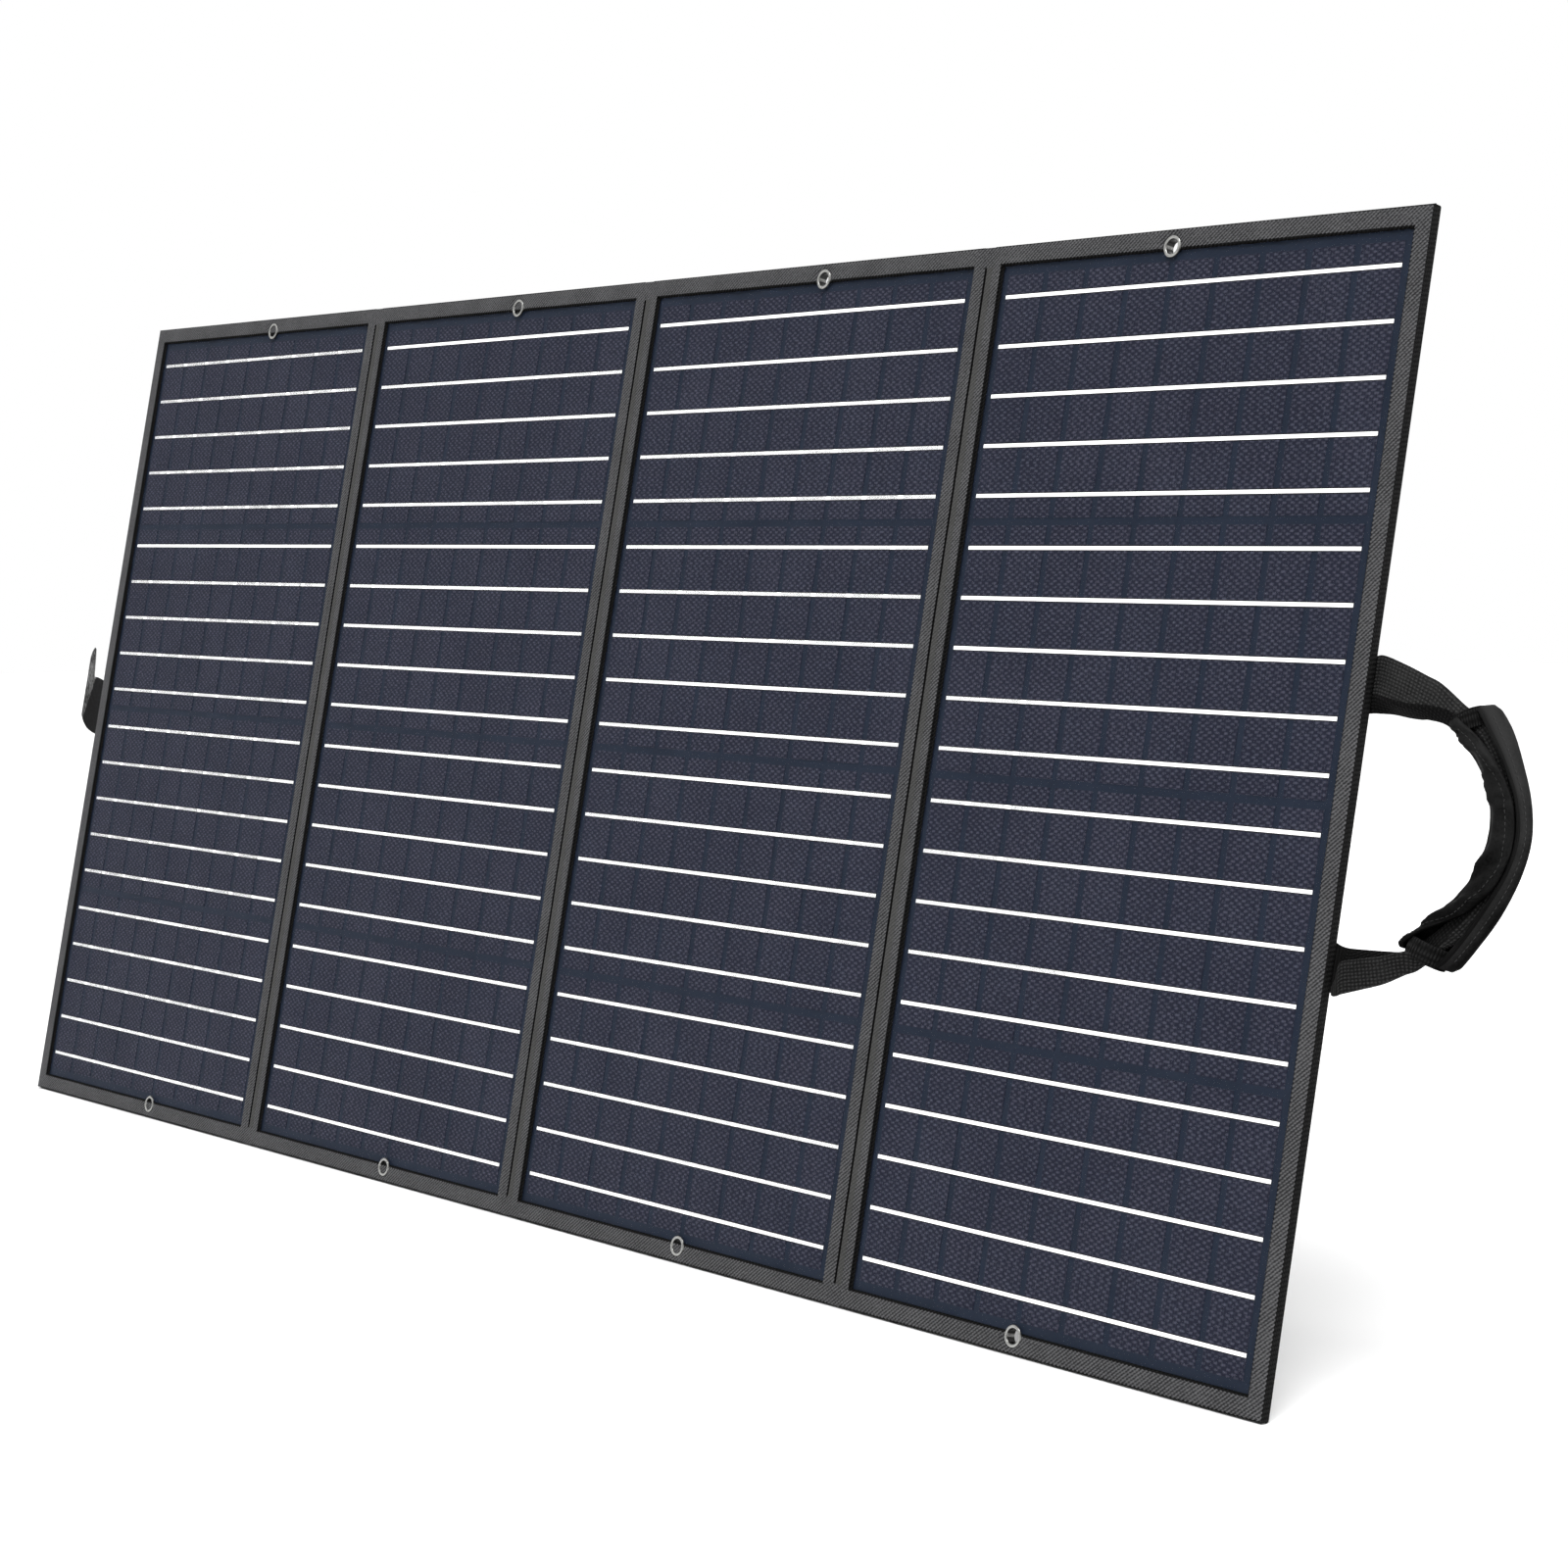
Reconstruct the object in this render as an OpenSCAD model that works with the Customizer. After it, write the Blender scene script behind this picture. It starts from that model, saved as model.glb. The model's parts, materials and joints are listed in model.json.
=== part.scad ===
// Four-leaf folding solar panel for camping, standing open on its two kickstands.
//
// Everything is drawn in the panel's own plane first: X runs along its width, Z up its slope and Y from its
// front face (Y = 0) to its back. The lean module then tips it back and sets it on the ground, with the origin
// at the middle of its footprint.

/* [Panel] */
// Height of the open panel, measured up its slope
panel_h = 530; // [400:1:700]
// Width of one leaf, from fold line to fold line
leaf_w = 280; // [260:1:340]
// Lean of the panel from the vertical, in degrees
lean_deg = 11.2; // [6:0.2:16]
// Gap between the stiff leaves at each fold
fold_gap = 8; // [6:0.5:12]
// Width of the fabric border beside each window
side_border = 10; // [9:0.5:14]
// Height of the fabric border above and below each window
end_border = 9.8; // [8:0.2:12]

/* [Layers] */
// Thickness of the front border fabric
border_t = 0.6; // [0.4:0.1:1]
// Thickness of the clear front film
film_t = 0.3; // [0.2:0.1:0.6]
// Thickness of the bright ribbons
ribbon_t = 0.15; // [0.1:0.05:0.3]
// Thickness of the cells
cell_t = 0.25; // [0.2:0.05:0.5]
// Thickness of the dark sheet behind the cells
backing_t = 0.7; // [0.4:0.1:1]
// Thickness of the stiffener board
board_t = 1.6; // [1.2:0.1:3]
// Thickness of the back cloth
cloth_t = 0.8; // [0.6:0.1:1.2]

/* [Cells] */
// Rows of cells on one leaf
cell_rows = 4; // [2:1:4]
// Columns of cells on one leaf
cell_cols = 9; // [4:1:9]
// Width of one cell
cell_w = 24.4; // [18:0.2:25]
// Gap between cells, across and up
cell_gap = 3.8; // [2:0.2:4]
// Distance from the panel's top and bottom edge to the cells
cell_margin = 15; // [14:0.5:20]
// Ribbons across each row of cells
ribbons_per_row = 5; // [3:1:6]
// Height of one ribbon
ribbon_w = 1.8; // [1:0.1:2.5]

/* [Eyelets] */
// Radius of the hole through an eyelet
eyelet_r = 3.5; // [3:0.1:4]
// Radius of an eyelet's flange
flange_r = 5.5; // [5.2:0.1:6]
// Height of a flange above the fabric
flange_h = 0.7; // [0.5:0.1:0.8]
// Distance of the eyelets from the panel's top and bottom edge
eyelet_inset = 8.2; // [7:0.1:9]
// Distance of the eyelets from the middle of leaves 1 to 3
eyelet_shift = 13.3; // [0:0.1:30]
// Distance of leaf 4's eyelets from its middle, on the other side
eyelet_shift_end = 14.7; // [0:0.1:18]

/* [Kickstands] */
// Width of a kickstand
stand_w = 100; // [60:1:104]
// Thickness of a kickstand
stand_t = 4; // [3.6:0.1:5]
// Height of the kickstand hinge above the panel's bottom edge
stand_hinge_z = 470; // [300:1:500]
// Distance from a kickstand's inner side to the nearest fold line
stand_inset = 12; // [8:1:14]
// Angle that a kickstand is open at rest, in degrees
stand_open_deg = 18.5; // [17:0.5:26]
// Height of the stay strap above the panel's bottom edge
stay_z = 150; // [80:1:250]
// Width of the stay strap
stay_w = 20; // [15:1:30]

/* [Handle] */
// Width of the handle's webbing
strap_w = 25; // [20:1:30]
// Thickness of the handle's webbing
strap_t = 2.4; // [1.6:0.1:3]
// Height of the handle's middle above the panel's bottom edge
handle_z = 257; // [230:1:270]
// Distance between the middles of the two webbing roots
root_spacing = 124; // [110:1:140]
// Radius of the arc that the grip follows
grip_arc_r = 64; // [58:1:70]
// Distance of the arc's centre from the panel's edge
grip_centre_out = 16.5; // [12:0.5:24]
// Outer radius of the grip
grip_r = 10.5; // [9:0.5:12]
// Half the angle that the grip covers, in degrees
grip_half_deg = 58; // [45:1:60]

/* [Closure] */
// Height of the closure tab where it is sewn on
tab_h = 40; // [30:1:50]
// Height of the closure tab's foot above the panel's bottom edge
tab_z = 246; // [230:1:255]
// How far the free end of the tab reaches above its root
tab_flare = 19; // [0:1:22]
// Radius of the tab's curl
tab_curl_r = 16.5; // [14:0.5:20]

/* [Pocket] */
// Width of the accessory pocket
pocket_w = 134; // [120:1:140]
// Height of the accessory pocket
pocket_h = 152; // [130:1:156]
// Distance from the pocket's outer side to the panel's right edge
pocket_inset = 26; // [14:1:26]
// Depth of the accessory pocket
pocket_d = 22; // [20:1:28]
// Wall of the accessory pocket
pocket_wall = 1.2; // [0.8:0.1:1.6]
// Length of the zip
zip_len = 112; // [90:1:116]

/* [Control box] */
// Width of the control box
box_w = 80; // [76:1:90]
// Height of the control box
box_h = 90; // [80:1:96]
// Depth of the control box
box_d = 17; // [16:0.5:17]
// Wall of the control box
box_wall = 1.6; // [1.2:0.1:2]

/* [Hidden] */
LEAVES = [1, 2, 3, 4];
SIDES = ["left", "right"];
LAYERS = ["border", "film", "ribbons", "cells", "backing", "board", "back_cloth", "eyelets"];
STAND_PIECES = ["kickstand_sleeve", "kickstand_board", "kickstand_hinge", "kickstand_stay"];
SINGLE = [
    "fold_strip_left", "fold_strip_middle", "fold_strip_right",
    "handle_webbing", "handle_grip", "handle_anchors",
    "closure_tab", "closure_anchor", "closure_loop_patch",
    "pocket_pouch", "zip_tape", "zip_teeth", "zip_slider", "zip_pull",
    "control_box_base", "control_box_lid", "control_board", "output_sockets", "cable_gland", "box_screws",
];

// Depth of each layer's front face
film_y = border_t;
ribbon_y = film_y + film_t;
cell_y = ribbon_y + ribbon_t;
backing_y = cell_y + cell_t;
board_y = backing_y + backing_t;
cloth_y = board_y + board_t;
leaf_t = cloth_y + cloth_t;
half_w = 2 * leaf_w;

// Cells and ribbons
cell_h = (panel_h - 2 * cell_margin - (cell_rows - 1) * (cell_gap + 0.2)) / cell_rows;
row_pitch = cell_h + cell_gap + 0.2;
field_w = cell_cols * cell_w + (cell_cols - 1) * cell_gap;
ribbon_pitch = 25 / 122 * cell_h * 5 / ribbons_per_row;

// Eyelets
barrel_r = eyelet_r + 0.6;
hole_r = barrel_r + 0.1;
lip_half = (flange_r - eyelet_r) / 2;
lip_arc_r = (lip_half * lip_half + flange_h * flange_h) / (2 * flange_h);

// Kickstands: the foot just touches the ground
ground_z = leaf_t * sin(lean_deg);
stand_gap = 0.4;
stand_y = leaf_t + stand_gap + stand_t / 2;
stand_from_vertical = stand_open_deg - lean_deg;
hinge_world_y = stand_y * cos(lean_deg) + stand_hinge_z * sin(lean_deg);
hinge_world_z = ground_z + stand_hinge_z * cos(lean_deg) - stand_y * sin(lean_deg);
stand_l = (hinge_world_z - stand_t / 2 * sin(stand_from_vertical)) / cos(stand_from_vertical);
stand_head = 1;
stand_corner_r = 12;
stand_wall = 0.8;
stay_drop = stand_hinge_z - stay_z;
stay_end_y = stand_y + stay_drop * sin(stand_open_deg) - stand_t / 2 * cos(stand_open_deg);
stay_end_z = stand_hinge_z - stay_drop * cos(stand_open_deg) - stand_t / 2 * sin(stand_open_deg);
stay_run = norm([stay_end_y - leaf_t, stay_end_z - stay_z]);
stay_rise_deg = atan2(stay_end_z - stay_z, stay_end_y - leaf_t);
stay_t = 1.2;

// Handle and closure tab, which swing just outboard of the panel's two ends
swing_out = 2.6;
swing_y = leaf_t + 0.8;
arm_start = 1.6;
arm_end_deg = grip_half_deg + 2;
core_w = 12;
core_t = 4;
grip_x = half_w + grip_centre_out;
grip_bore_r = 6.8;
anchor_t = 1.6;
anchor_w = 30;
tab_t = 2;
tab_drop = 11;
tab_centre_x = -half_w - 16;
tab_root_deg = 43;
tab_bend_deg = 105;
tab_tip_deg = 148;

// Pocket, zip and control box, on the back of leaf 4
back_y = leaf_t;
pocket_x = half_w - pocket_inset - pocket_w;
pocket_z = panel_h - 26 - pocket_h;
pocket_back_y = back_y + pocket_d;
zip_x = pocket_x + pocket_w - 26;
zip_z = pocket_z + (pocket_h - zip_len) / 2;
tape_w = 9;
tape_t = 0.5;
tooth_w = 4.4;
tooth_t = 1.5;
tooth_pitch = 2.8;
tooth_l = 1.6;
zip_play = 0.35;
slider_l = 10;
slider_w = 9;
slider_y = pocket_back_y + tape_t + zip_play;
slider_top_y = slider_y + tooth_t + 1.4;
pull_y = slider_top_y + 1.6;
pull_z = zip_z + slider_l / 2 + 2;
pull_bar_r = 0.8;
pull_l = 24;
box_x = pocket_x + 16;
box_z = pocket_z + 22;
lid_t = 1.8;
screw_inset = 5.5;
screw_r = 1.2;

// Half the width of the whole footprint's offset from the panel's middle, and its depth
reach_right = grip_x + grip_arc_r + grip_r;
reach_left = -tab_centre_x + tab_curl_r + tab_t / 2;
shift_x = (reach_left - reach_right) / 2;
foot_y = hinge_world_y + stand_l * sin(stand_from_vertical) + stand_t / 2 * cos(stand_from_vertical);
shift_y = -foot_y / 2;

$fn = 64;

function fold_line(leaf) = (leaf - 3) * leaf_w;
function leaf_left(leaf) = fold_line(leaf) + (leaf == 1 ? 0 : fold_gap / 2);
function leaf_right(leaf) = fold_line(leaf + 1) - (leaf == 4 ? 0 : fold_gap / 2);
function eyelet_x(leaf) = fold_line(leaf) + leaf_w / 2 + (leaf == 4 ? -eyelet_shift_end : eyelet_shift);
function side_sign(side) = side == "left" ? -1 : 1;
function stand_x(side) = side_sign(side) * (leaf_w + stand_inset + stand_w / 2);

// Tips the panel back and sets it on the ground, over the origin
module leaned() {
    translate([shift_x, shift_y, ground_z]) rotate([-lean_deg, 0, 0]) children();
}

// A box between two corners
module block(low, high) {
    translate(low) cube(high - low);
}

// A round rod along the panel's depth
module depth_rod(x, z, r, y0, y1) {
    translate([x, y1, z]) rotate([90, 0, 0]) cylinder(r = r, h = y1 - y0);
}

module eyelet_holes(leaf, y0, y1) {
    for (z = [eyelet_inset, panel_h - eyelet_inset]) depth_rod(eyelet_x(leaf), z, hole_r, y0 - 1, y1 + 1);
}

// One full layer inside the back cloth's rim
module inner_layer(leaf, y0, t) {
    difference() {
        block([leaf_left(leaf) + cloth_t, y0, cloth_t],
              [leaf_right(leaf) - cloth_t, y0 + t, panel_h - cloth_t]);
        eyelet_holes(leaf, y0, y0 + t);
    }
}

// Twill border: a frame of fabric around the window
module border(leaf) {
    color("#47474a") leaned() difference() {
        block([leaf_left(leaf), 0, 0], [leaf_right(leaf), border_t, panel_h]);
        block([fold_line(leaf) + side_border, -1, end_border],
              [fold_line(leaf + 1) - side_border, border_t + 1, panel_h - end_border]);
        eyelet_holes(leaf, 0, border_t);
    }
}

module film(leaf) {
    color("#8f9bb0", 0.3) leaned() inner_layer(leaf, film_y, film_t);
}

// Bright ribbons that join the cells of each row
module ribbons(leaf) {
    x0 = fold_line(leaf) + (leaf_w - field_w) / 2;
    color("#e8e8ea") leaned()
        for (row = [0 : cell_rows - 1], i = [0 : ribbons_per_row - 1]) {
            middle = cell_margin + row * row_pitch + cell_h / 2;
            z = middle + (i - (ribbons_per_row - 1) / 2) * ribbon_pitch;
            block([x0, ribbon_y, z - ribbon_w / 2], [x0 + field_w, ribbon_y + ribbon_t, z + ribbon_w / 2]);
        }
}

module cells(leaf) {
    x0 = fold_line(leaf) + (leaf_w - field_w) / 2;
    color("#3e404e") leaned()
        for (row = [0 : cell_rows - 1], col = [0 : cell_cols - 1])
            translate([x0 + col * (cell_w + cell_gap), cell_y, cell_margin + row * row_pitch])
                cube([cell_w, cell_t, cell_h]);
}

module backing(leaf) {
    color("#2a3242") leaned() inner_layer(leaf, backing_y, backing_t);
}

module board(leaf) {
    color("#2c2c2e") leaned() inner_layer(leaf, board_y, board_t);
}

// Back cloth: a shallow tray whose rim wraps the leaf's edges
module back_cloth(leaf) {
    color("#1d1d1f") leaned() difference() {
        block([leaf_left(leaf), border_t, 0], [leaf_right(leaf), leaf_t, panel_h]);
        block([leaf_left(leaf) + cloth_t, border_t - 1, cloth_t],
              [leaf_right(leaf) - cloth_t, cloth_y, panel_h - cloth_t]);
        eyelet_holes(leaf, border_t, leaf_t);
    }
}

// Cross-section of an eyelet: a straight barrel with a domed lip at each end
module eyelet_profile() {
    translate([eyelet_r, 0]) square([barrel_r - eyelet_r, leaf_t]);
    for (end = [0, 1])
        translate([0, end * leaf_t]) mirror([0, 1 - end]) intersection() {
            translate([eyelet_r + lip_half, flange_h - lip_arc_r]) circle(r = lip_arc_r);
            translate([eyelet_r, 0]) square([2 * lip_half, flange_h]);
        }
}

module eyelets(leaf) {
    color("#c9cbcf") leaned()
        for (z = [eyelet_inset, panel_h - eyelet_inset])
            translate([eyelet_x(leaf), 0, z]) rotate([-90, 0, 0]) rotate_extrude() eyelet_profile();
}

// Fabric that fills the gap at a fold. It is part of the inner leaf, and clear of the leaf that swings.
module fold_strip(line, outward) {
    clear = 0.4;
    x0 = line - fold_gap / 2 + (outward < 0 ? clear : 0);
    x1 = line + fold_gap / 2 - (outward > 0 ? clear : 0);
    color("#38383a") leaned() block([x0, 1.2, 0.6], [x1, 3.2, panel_h - 0.6]);
}

// Flat plate along the kickstand, hanging from the hinge at the origin, with two rounded feet
module stand_plate(w, top, bottom, corner, t) {
    for (x = [corner - w / 2, w / 2 - corner]) depth_rod(x, corner - bottom, corner, -t / 2, t / 2);
    block([corner - w / 2, -t / 2, -bottom], [w / 2 - corner, t / 2, -top]);
    block([-w / 2, -t / 2, corner - bottom], [w / 2, t / 2, -top]);
}

module stand_place(side) {
    leaned() translate([stand_x(side), stand_y, stand_hinge_z]) rotate([stand_open_deg, 0, 0]) children();
}

module kickstand_sleeve(side) {
    color("#232325") stand_place(side) difference() {
        stand_plate(stand_w, stand_head, stand_l, stand_corner_r, stand_t);
        stand_plate(stand_w - 2 * stand_wall, stand_head + stand_wall, stand_l - stand_wall,
                    stand_corner_r - stand_wall, stand_t - 2 * stand_wall);
    }
}

module kickstand_board(side) {
    play = 0.1;
    color("#3a3a3c") stand_place(side)
        stand_plate(stand_w - 2 * (stand_wall + play), stand_head + stand_wall + play,
                    stand_l - stand_wall - play, stand_corner_r - stand_wall - play,
                    stand_t - 2 * (stand_wall + play));
}

// Fabric strip sewn to the leaf above the kickstand, which it hangs from
module kickstand_hinge(side) {
    color("#2a2a2c") leaned() translate([stand_x(side), leaf_t, stand_hinge_z])
        block([-stand_w / 2, 0, 3], [stand_w / 2, 1.2, 27]);
}

// Stay strap that stops the kickstand from opening any further
module kickstand_stay(side) {
    ease = 0.5;
    color("#1a1a1c") leaned() translate([stand_x(side), leaf_t, stay_z]) rotate([stay_rise_deg, 0, 0])
        block([-stay_w / 2, ease, -stay_t / 2], [stay_w / 2, stay_run - ease, stay_t / 2]);
}

// Places children in the plane of the handle's loop, at the centre of its arc, with their Z towards the front
module grip_place() {
    leaned() translate([grip_x, swing_y, handle_z]) rotate([90, 0, 0]) children();
}

module grip_arc(half_deg) {
    rotate([0, 0, -half_deg]) rotate_extrude(angle = 2 * half_deg) translate([grip_arc_r, 0]) children();
}

// One webbing arm, from its root beside the panel to the end of the grip; up is 1 or -1
module handle_arm(up) {
    root_x = swing_out + arm_start - grip_centre_out;
    root_y = up * root_spacing / 2;
    inner = grip_arc_r - core_w / 2;
    outer = grip_arc_r + core_w / 2;
    translate([0, 0, -strap_t / 2]) linear_extrude(strap_t) polygon([
        [root_x, root_y - strap_w / 2],
        [root_x, root_y + strap_w / 2],
        [(up > 0 ? outer : inner) * cos(arm_end_deg), up * (up > 0 ? outer : inner) * sin(arm_end_deg)],
        [(up > 0 ? inner : outer) * cos(arm_end_deg), up * (up > 0 ? inner : outer) * sin(arm_end_deg)],
    ]);
}

// Webbing loop: two arms, and a folded core inside the grip
module handle_webbing() {
    color("#141415") grip_place() {
        grip_arc(arm_end_deg + 2) square([core_w, core_t], center = true);
        handle_arm(1);
        handle_arm(-1);
    }
}

module handle_grip() {
    color("#1f1f21") grip_place() grip_arc(grip_half_deg) difference() {
        circle(r = grip_r);
        circle(r = grip_bore_r);
    }
}

// The two ends of the webbing, sewn flat to the back of leaf 4
module handle_anchors() {
    color("#161617") leaned()
        for (up = [-1, 1])
            translate([half_w - 2 - anchor_w, leaf_t, handle_z + up * root_spacing / 2 - strap_w / 2])
                cube([anchor_w, anchor_t, strap_w]);
}

// Closure tab: a strap that curls out from behind the left end, with a taller free end
module closure_tab() {
    reach = 2 * tab_curl_r;
    color("#2b2b2d") leaned() translate([tab_centre_x, swing_y - tab_drop, tab_z]) difference() {
        rotate([0, 0, tab_root_deg]) rotate_extrude(angle = tab_tip_deg - tab_root_deg)
            translate([tab_curl_r - tab_t / 2, 0]) square([tab_t, tab_h + tab_flare]);
        rotate([0, 0, tab_bend_deg]) block([-reach, -2 * reach, tab_h], [reach, 0, tab_h + tab_flare + 1]);
    }
}

module closure_anchor() {
    color("#1c1c1e") leaned()
        block([2 - half_w, leaf_t, tab_z], [2 + anchor_w - half_w, leaf_t + anchor_t, tab_z + tab_h]);
}

// Loop patch on leaf 4 that the closure tab sticks to when the panel is folded
module closure_loop_patch() {
    color("#262628") leaned()
        block([half_w - 60, leaf_t, tab_z], [half_w - 6, leaf_t + 1.2, tab_z + tab_h]);
}

// A box with rounded corners seen from the back, between two depths
module rounded_box(x, z, w, h, r, y0, y1) {
    block([x + r, y0, z], [x + w - r, y1, z + h]);
    block([x, y0, z + r], [x + w, y1, z + h - r]);
    for (cx = [x + r, x + w - r], cz = [z + r, z + h - r]) depth_rod(cx, cz, r, y0, y1);
}

// Accessory pocket: five walls of fabric, closed in front by the back cloth
module pocket_pouch() {
    r = 14;
    color("#222224") leaned() difference() {
        rounded_box(pocket_x, pocket_z, pocket_w, pocket_h, r, back_y, pocket_back_y);
        rounded_box(pocket_x + pocket_wall, pocket_z + pocket_wall, pocket_w - 2 * pocket_wall,
                    pocket_h - 2 * pocket_wall, r - pocket_wall, back_y - 1, pocket_back_y - pocket_wall);
    }
}

module zip_tape() {
    color("#1a1a1a") leaned()
        for (side = [-1, 1])
            translate([zip_x + side * (tape_w / 2 + 0.5) - tape_w / 2, pocket_back_y, zip_z - 4])
                cube([tape_w, tape_t, zip_len + 8]);
}

// Zip teeth, which mesh on the line between the two tapes
module zip_teeth() {
    count = floor(zip_len / tooth_pitch);
    color("#111112") leaned()
        for (i = [0 : count - 1])
            translate([zip_x - tooth_w / 2, pocket_back_y + tape_t, zip_z + i * tooth_pitch])
                cube([tooth_w, tooth_t, tooth_l]);
}

// Zip slider: a channel that runs over the teeth, with an arch for the pull
module zip_slider() {
    color("#6f7176") leaned() {
        difference() {
            block([zip_x - slider_w / 2, slider_y, zip_z - 0.5], [zip_x + slider_w / 2, slider_top_y, zip_z + slider_l]);
            block([zip_x - tooth_w / 2 - zip_play, slider_y - 1, zip_z - 2],
                  [zip_x + tooth_w / 2 + zip_play, slider_y + tooth_t, zip_z + slider_l + 1]);
        }
        difference() {
            block([zip_x - 1.1, slider_top_y, pull_z - 3], [zip_x + 1.1, pull_y + 2, pull_z + 3]);
            translate([zip_x - 2, pull_y, pull_z]) rotate([0, 90, 0]) cylinder(r = pull_bar_r + 0.3, h = 4);
        }
    }
}

// Zip pull: a bar through the slider's arch, two arms and a flat tab that hangs straight down
module zip_pull() {
    arm_w = 0.9;
    pull_w = 7;
    color("#2a2a2b") leaned() translate([zip_x, pull_y, pull_z]) rotate([lean_deg, 0, 0]) {
        translate([-pull_w / 2, 0, 0]) rotate([0, 90, 0]) cylinder(r = pull_bar_r, h = pull_w);
        for (x = [-pull_w / 2, pull_w / 2 - arm_w]) block([x, -0.6, -7], [x + arm_w, 0.6, 0]);
        block([-pull_w / 2, -0.6, -pull_l], [pull_w / 2, 0.6, -6]);
    }
}

function screw_spots() = [
    for (x = [box_x + screw_inset, box_x + box_w - screw_inset])
    for (z = [box_z + screw_inset, box_z + box_h - screw_inset]) [x, z]
];

// Control box: an open tray with four screw posts, on the back cloth inside the pocket
module control_box_base() {
    rim_y = back_y + box_d - lid_t;
    color("#2e2e30") leaned() difference() {
        union() {
            difference() {
                block([box_x, back_y, box_z], [box_x + box_w, rim_y, box_z + box_h]);
                block([box_x + box_wall, back_y + box_wall, box_z + box_wall],
                      [box_x + box_w - box_wall, rim_y + 1, box_z + box_h - box_wall]);
            }
            for (s = screw_spots()) depth_rod(s[0], s[1], 3.2, back_y + 1, rim_y);
        }
        for (s = screw_spots()) depth_rod(s[0], s[1], screw_r + 0.05, rim_y - 9, rim_y + 1);
        translate([box_x + 20, back_y + box_d / 2 - 1, box_z - 1]) cylinder(r = 4.1, h = box_wall + 2);
        block([box_x + 34, back_y + 4, box_z - 1], [box_x + 65, back_y + 11, box_z + box_wall + 1]);
    }
}

module control_box_lid() {
    y0 = back_y + box_d - lid_t;
    color("#343437") leaned() difference() {
        block([box_x, y0, box_z], [box_x + box_w, back_y + box_d, box_z + box_h]);
        for (s = screw_spots()) depth_rod(s[0], s[1], screw_r + 0.3, y0 - 1, y0 + lid_t + 1);
    }
}

module control_board() {
    color("#1f5a3a") leaned()
        block([box_x + 10, back_y + 3, box_z + 12], [box_x + box_w - 10, back_y + 4.6, box_z + box_h - 4]);
}

// Output sockets: two flat ones side by side, in the control box's lower wall
module output_sockets() {
    color("#a9abb0") leaned() {
        for (x = [box_x + 35, box_x + 51]) difference() {
            block([x, back_y + 4.6, box_z + 0.2], [x + 13, back_y + 10.4, box_z + 14]);
            block([x + 0.8, back_y + 5.4, box_z - 1], [x + 12.2, back_y + 9.6, box_z + 12]);
        }
    }
}

// Gland that the output cord leaves the control box through
module cable_gland() {
    color("#19191a") leaned() translate([box_x + 20, back_y + box_d / 2 - 1, box_z]) difference() {
        union() {
            cylinder(r = 4, h = box_wall + 3);
            translate([0, 0, -6]) cylinder(r = 5.5, h = 6);
            translate([0, 0, box_wall]) cylinder(r = 5.5, h = 2);
        }
        translate([0, 0, -7]) cylinder(r = 2.5, h = 16);
    }
}

module box_screws() {
    head_y = back_y + box_d;
    color("#9a9ca0") leaned()
        for (s = screw_spots()) {
            depth_rod(s[0], s[1], screw_r, head_y - 9, head_y);
            depth_rod(s[0], s[1], 2.4, head_y, head_y + 1.2);
        }
}

for (leaf = LEAVES) {
    border(leaf);
    film(leaf);
    ribbons(leaf);
    cells(leaf);
    backing(leaf);
    board(leaf);
    back_cloth(leaf);
    eyelets(leaf);
}
for (side = SIDES) {
    kickstand_sleeve(side);
    kickstand_board(side);
    kickstand_hinge(side);
    kickstand_stay(side);
}
fold_strip(-leaf_w, -1);  // fold_strip_left
fold_strip(0, -1);  // fold_strip_middle
fold_strip(leaf_w, 1);  // fold_strip_right
handle_webbing();
handle_grip();
handle_anchors();
closure_tab();
closure_anchor();
closure_loop_patch();
pocket_pouch();
zip_tape();
zip_teeth();
zip_slider();
zip_pull();
control_box_base();
control_box_lid();
control_board();
output_sockets();
cable_gland();
box_screws();
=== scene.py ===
"""Looks of the folding solar panel: fabric, straps, grip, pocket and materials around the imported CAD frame.

Pieces are drawn in the panel's own coordinates, in millimetres, as the CAD is: X runs along the panel from its
middle, Y from the front face (0) to the back, and Z up the slope from the bottom edge. PANEL takes them to the
row frame, in metres.
"""

import functools
import json
import math

import bpy
import numpy as np
from mathutils import Matrix, Vector, noise


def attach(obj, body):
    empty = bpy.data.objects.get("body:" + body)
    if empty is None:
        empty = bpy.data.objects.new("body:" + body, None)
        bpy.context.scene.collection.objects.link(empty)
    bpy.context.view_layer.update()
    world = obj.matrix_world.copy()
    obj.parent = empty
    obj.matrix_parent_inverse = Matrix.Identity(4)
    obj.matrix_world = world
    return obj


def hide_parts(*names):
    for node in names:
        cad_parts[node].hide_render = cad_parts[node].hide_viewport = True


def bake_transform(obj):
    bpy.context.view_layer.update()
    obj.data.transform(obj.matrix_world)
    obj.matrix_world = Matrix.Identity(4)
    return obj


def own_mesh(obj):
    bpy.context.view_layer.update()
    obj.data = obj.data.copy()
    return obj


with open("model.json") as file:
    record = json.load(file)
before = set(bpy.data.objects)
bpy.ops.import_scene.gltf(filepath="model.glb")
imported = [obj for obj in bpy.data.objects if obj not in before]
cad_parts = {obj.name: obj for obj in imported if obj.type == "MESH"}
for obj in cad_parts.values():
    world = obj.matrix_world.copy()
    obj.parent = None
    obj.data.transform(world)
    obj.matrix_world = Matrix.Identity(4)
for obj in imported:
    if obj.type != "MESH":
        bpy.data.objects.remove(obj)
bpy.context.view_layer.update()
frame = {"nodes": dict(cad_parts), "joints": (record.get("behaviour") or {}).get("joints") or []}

MM = 0.001
LEAVES = (1, 2, 3, 4)
SIDES = ("left", "right")

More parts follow.
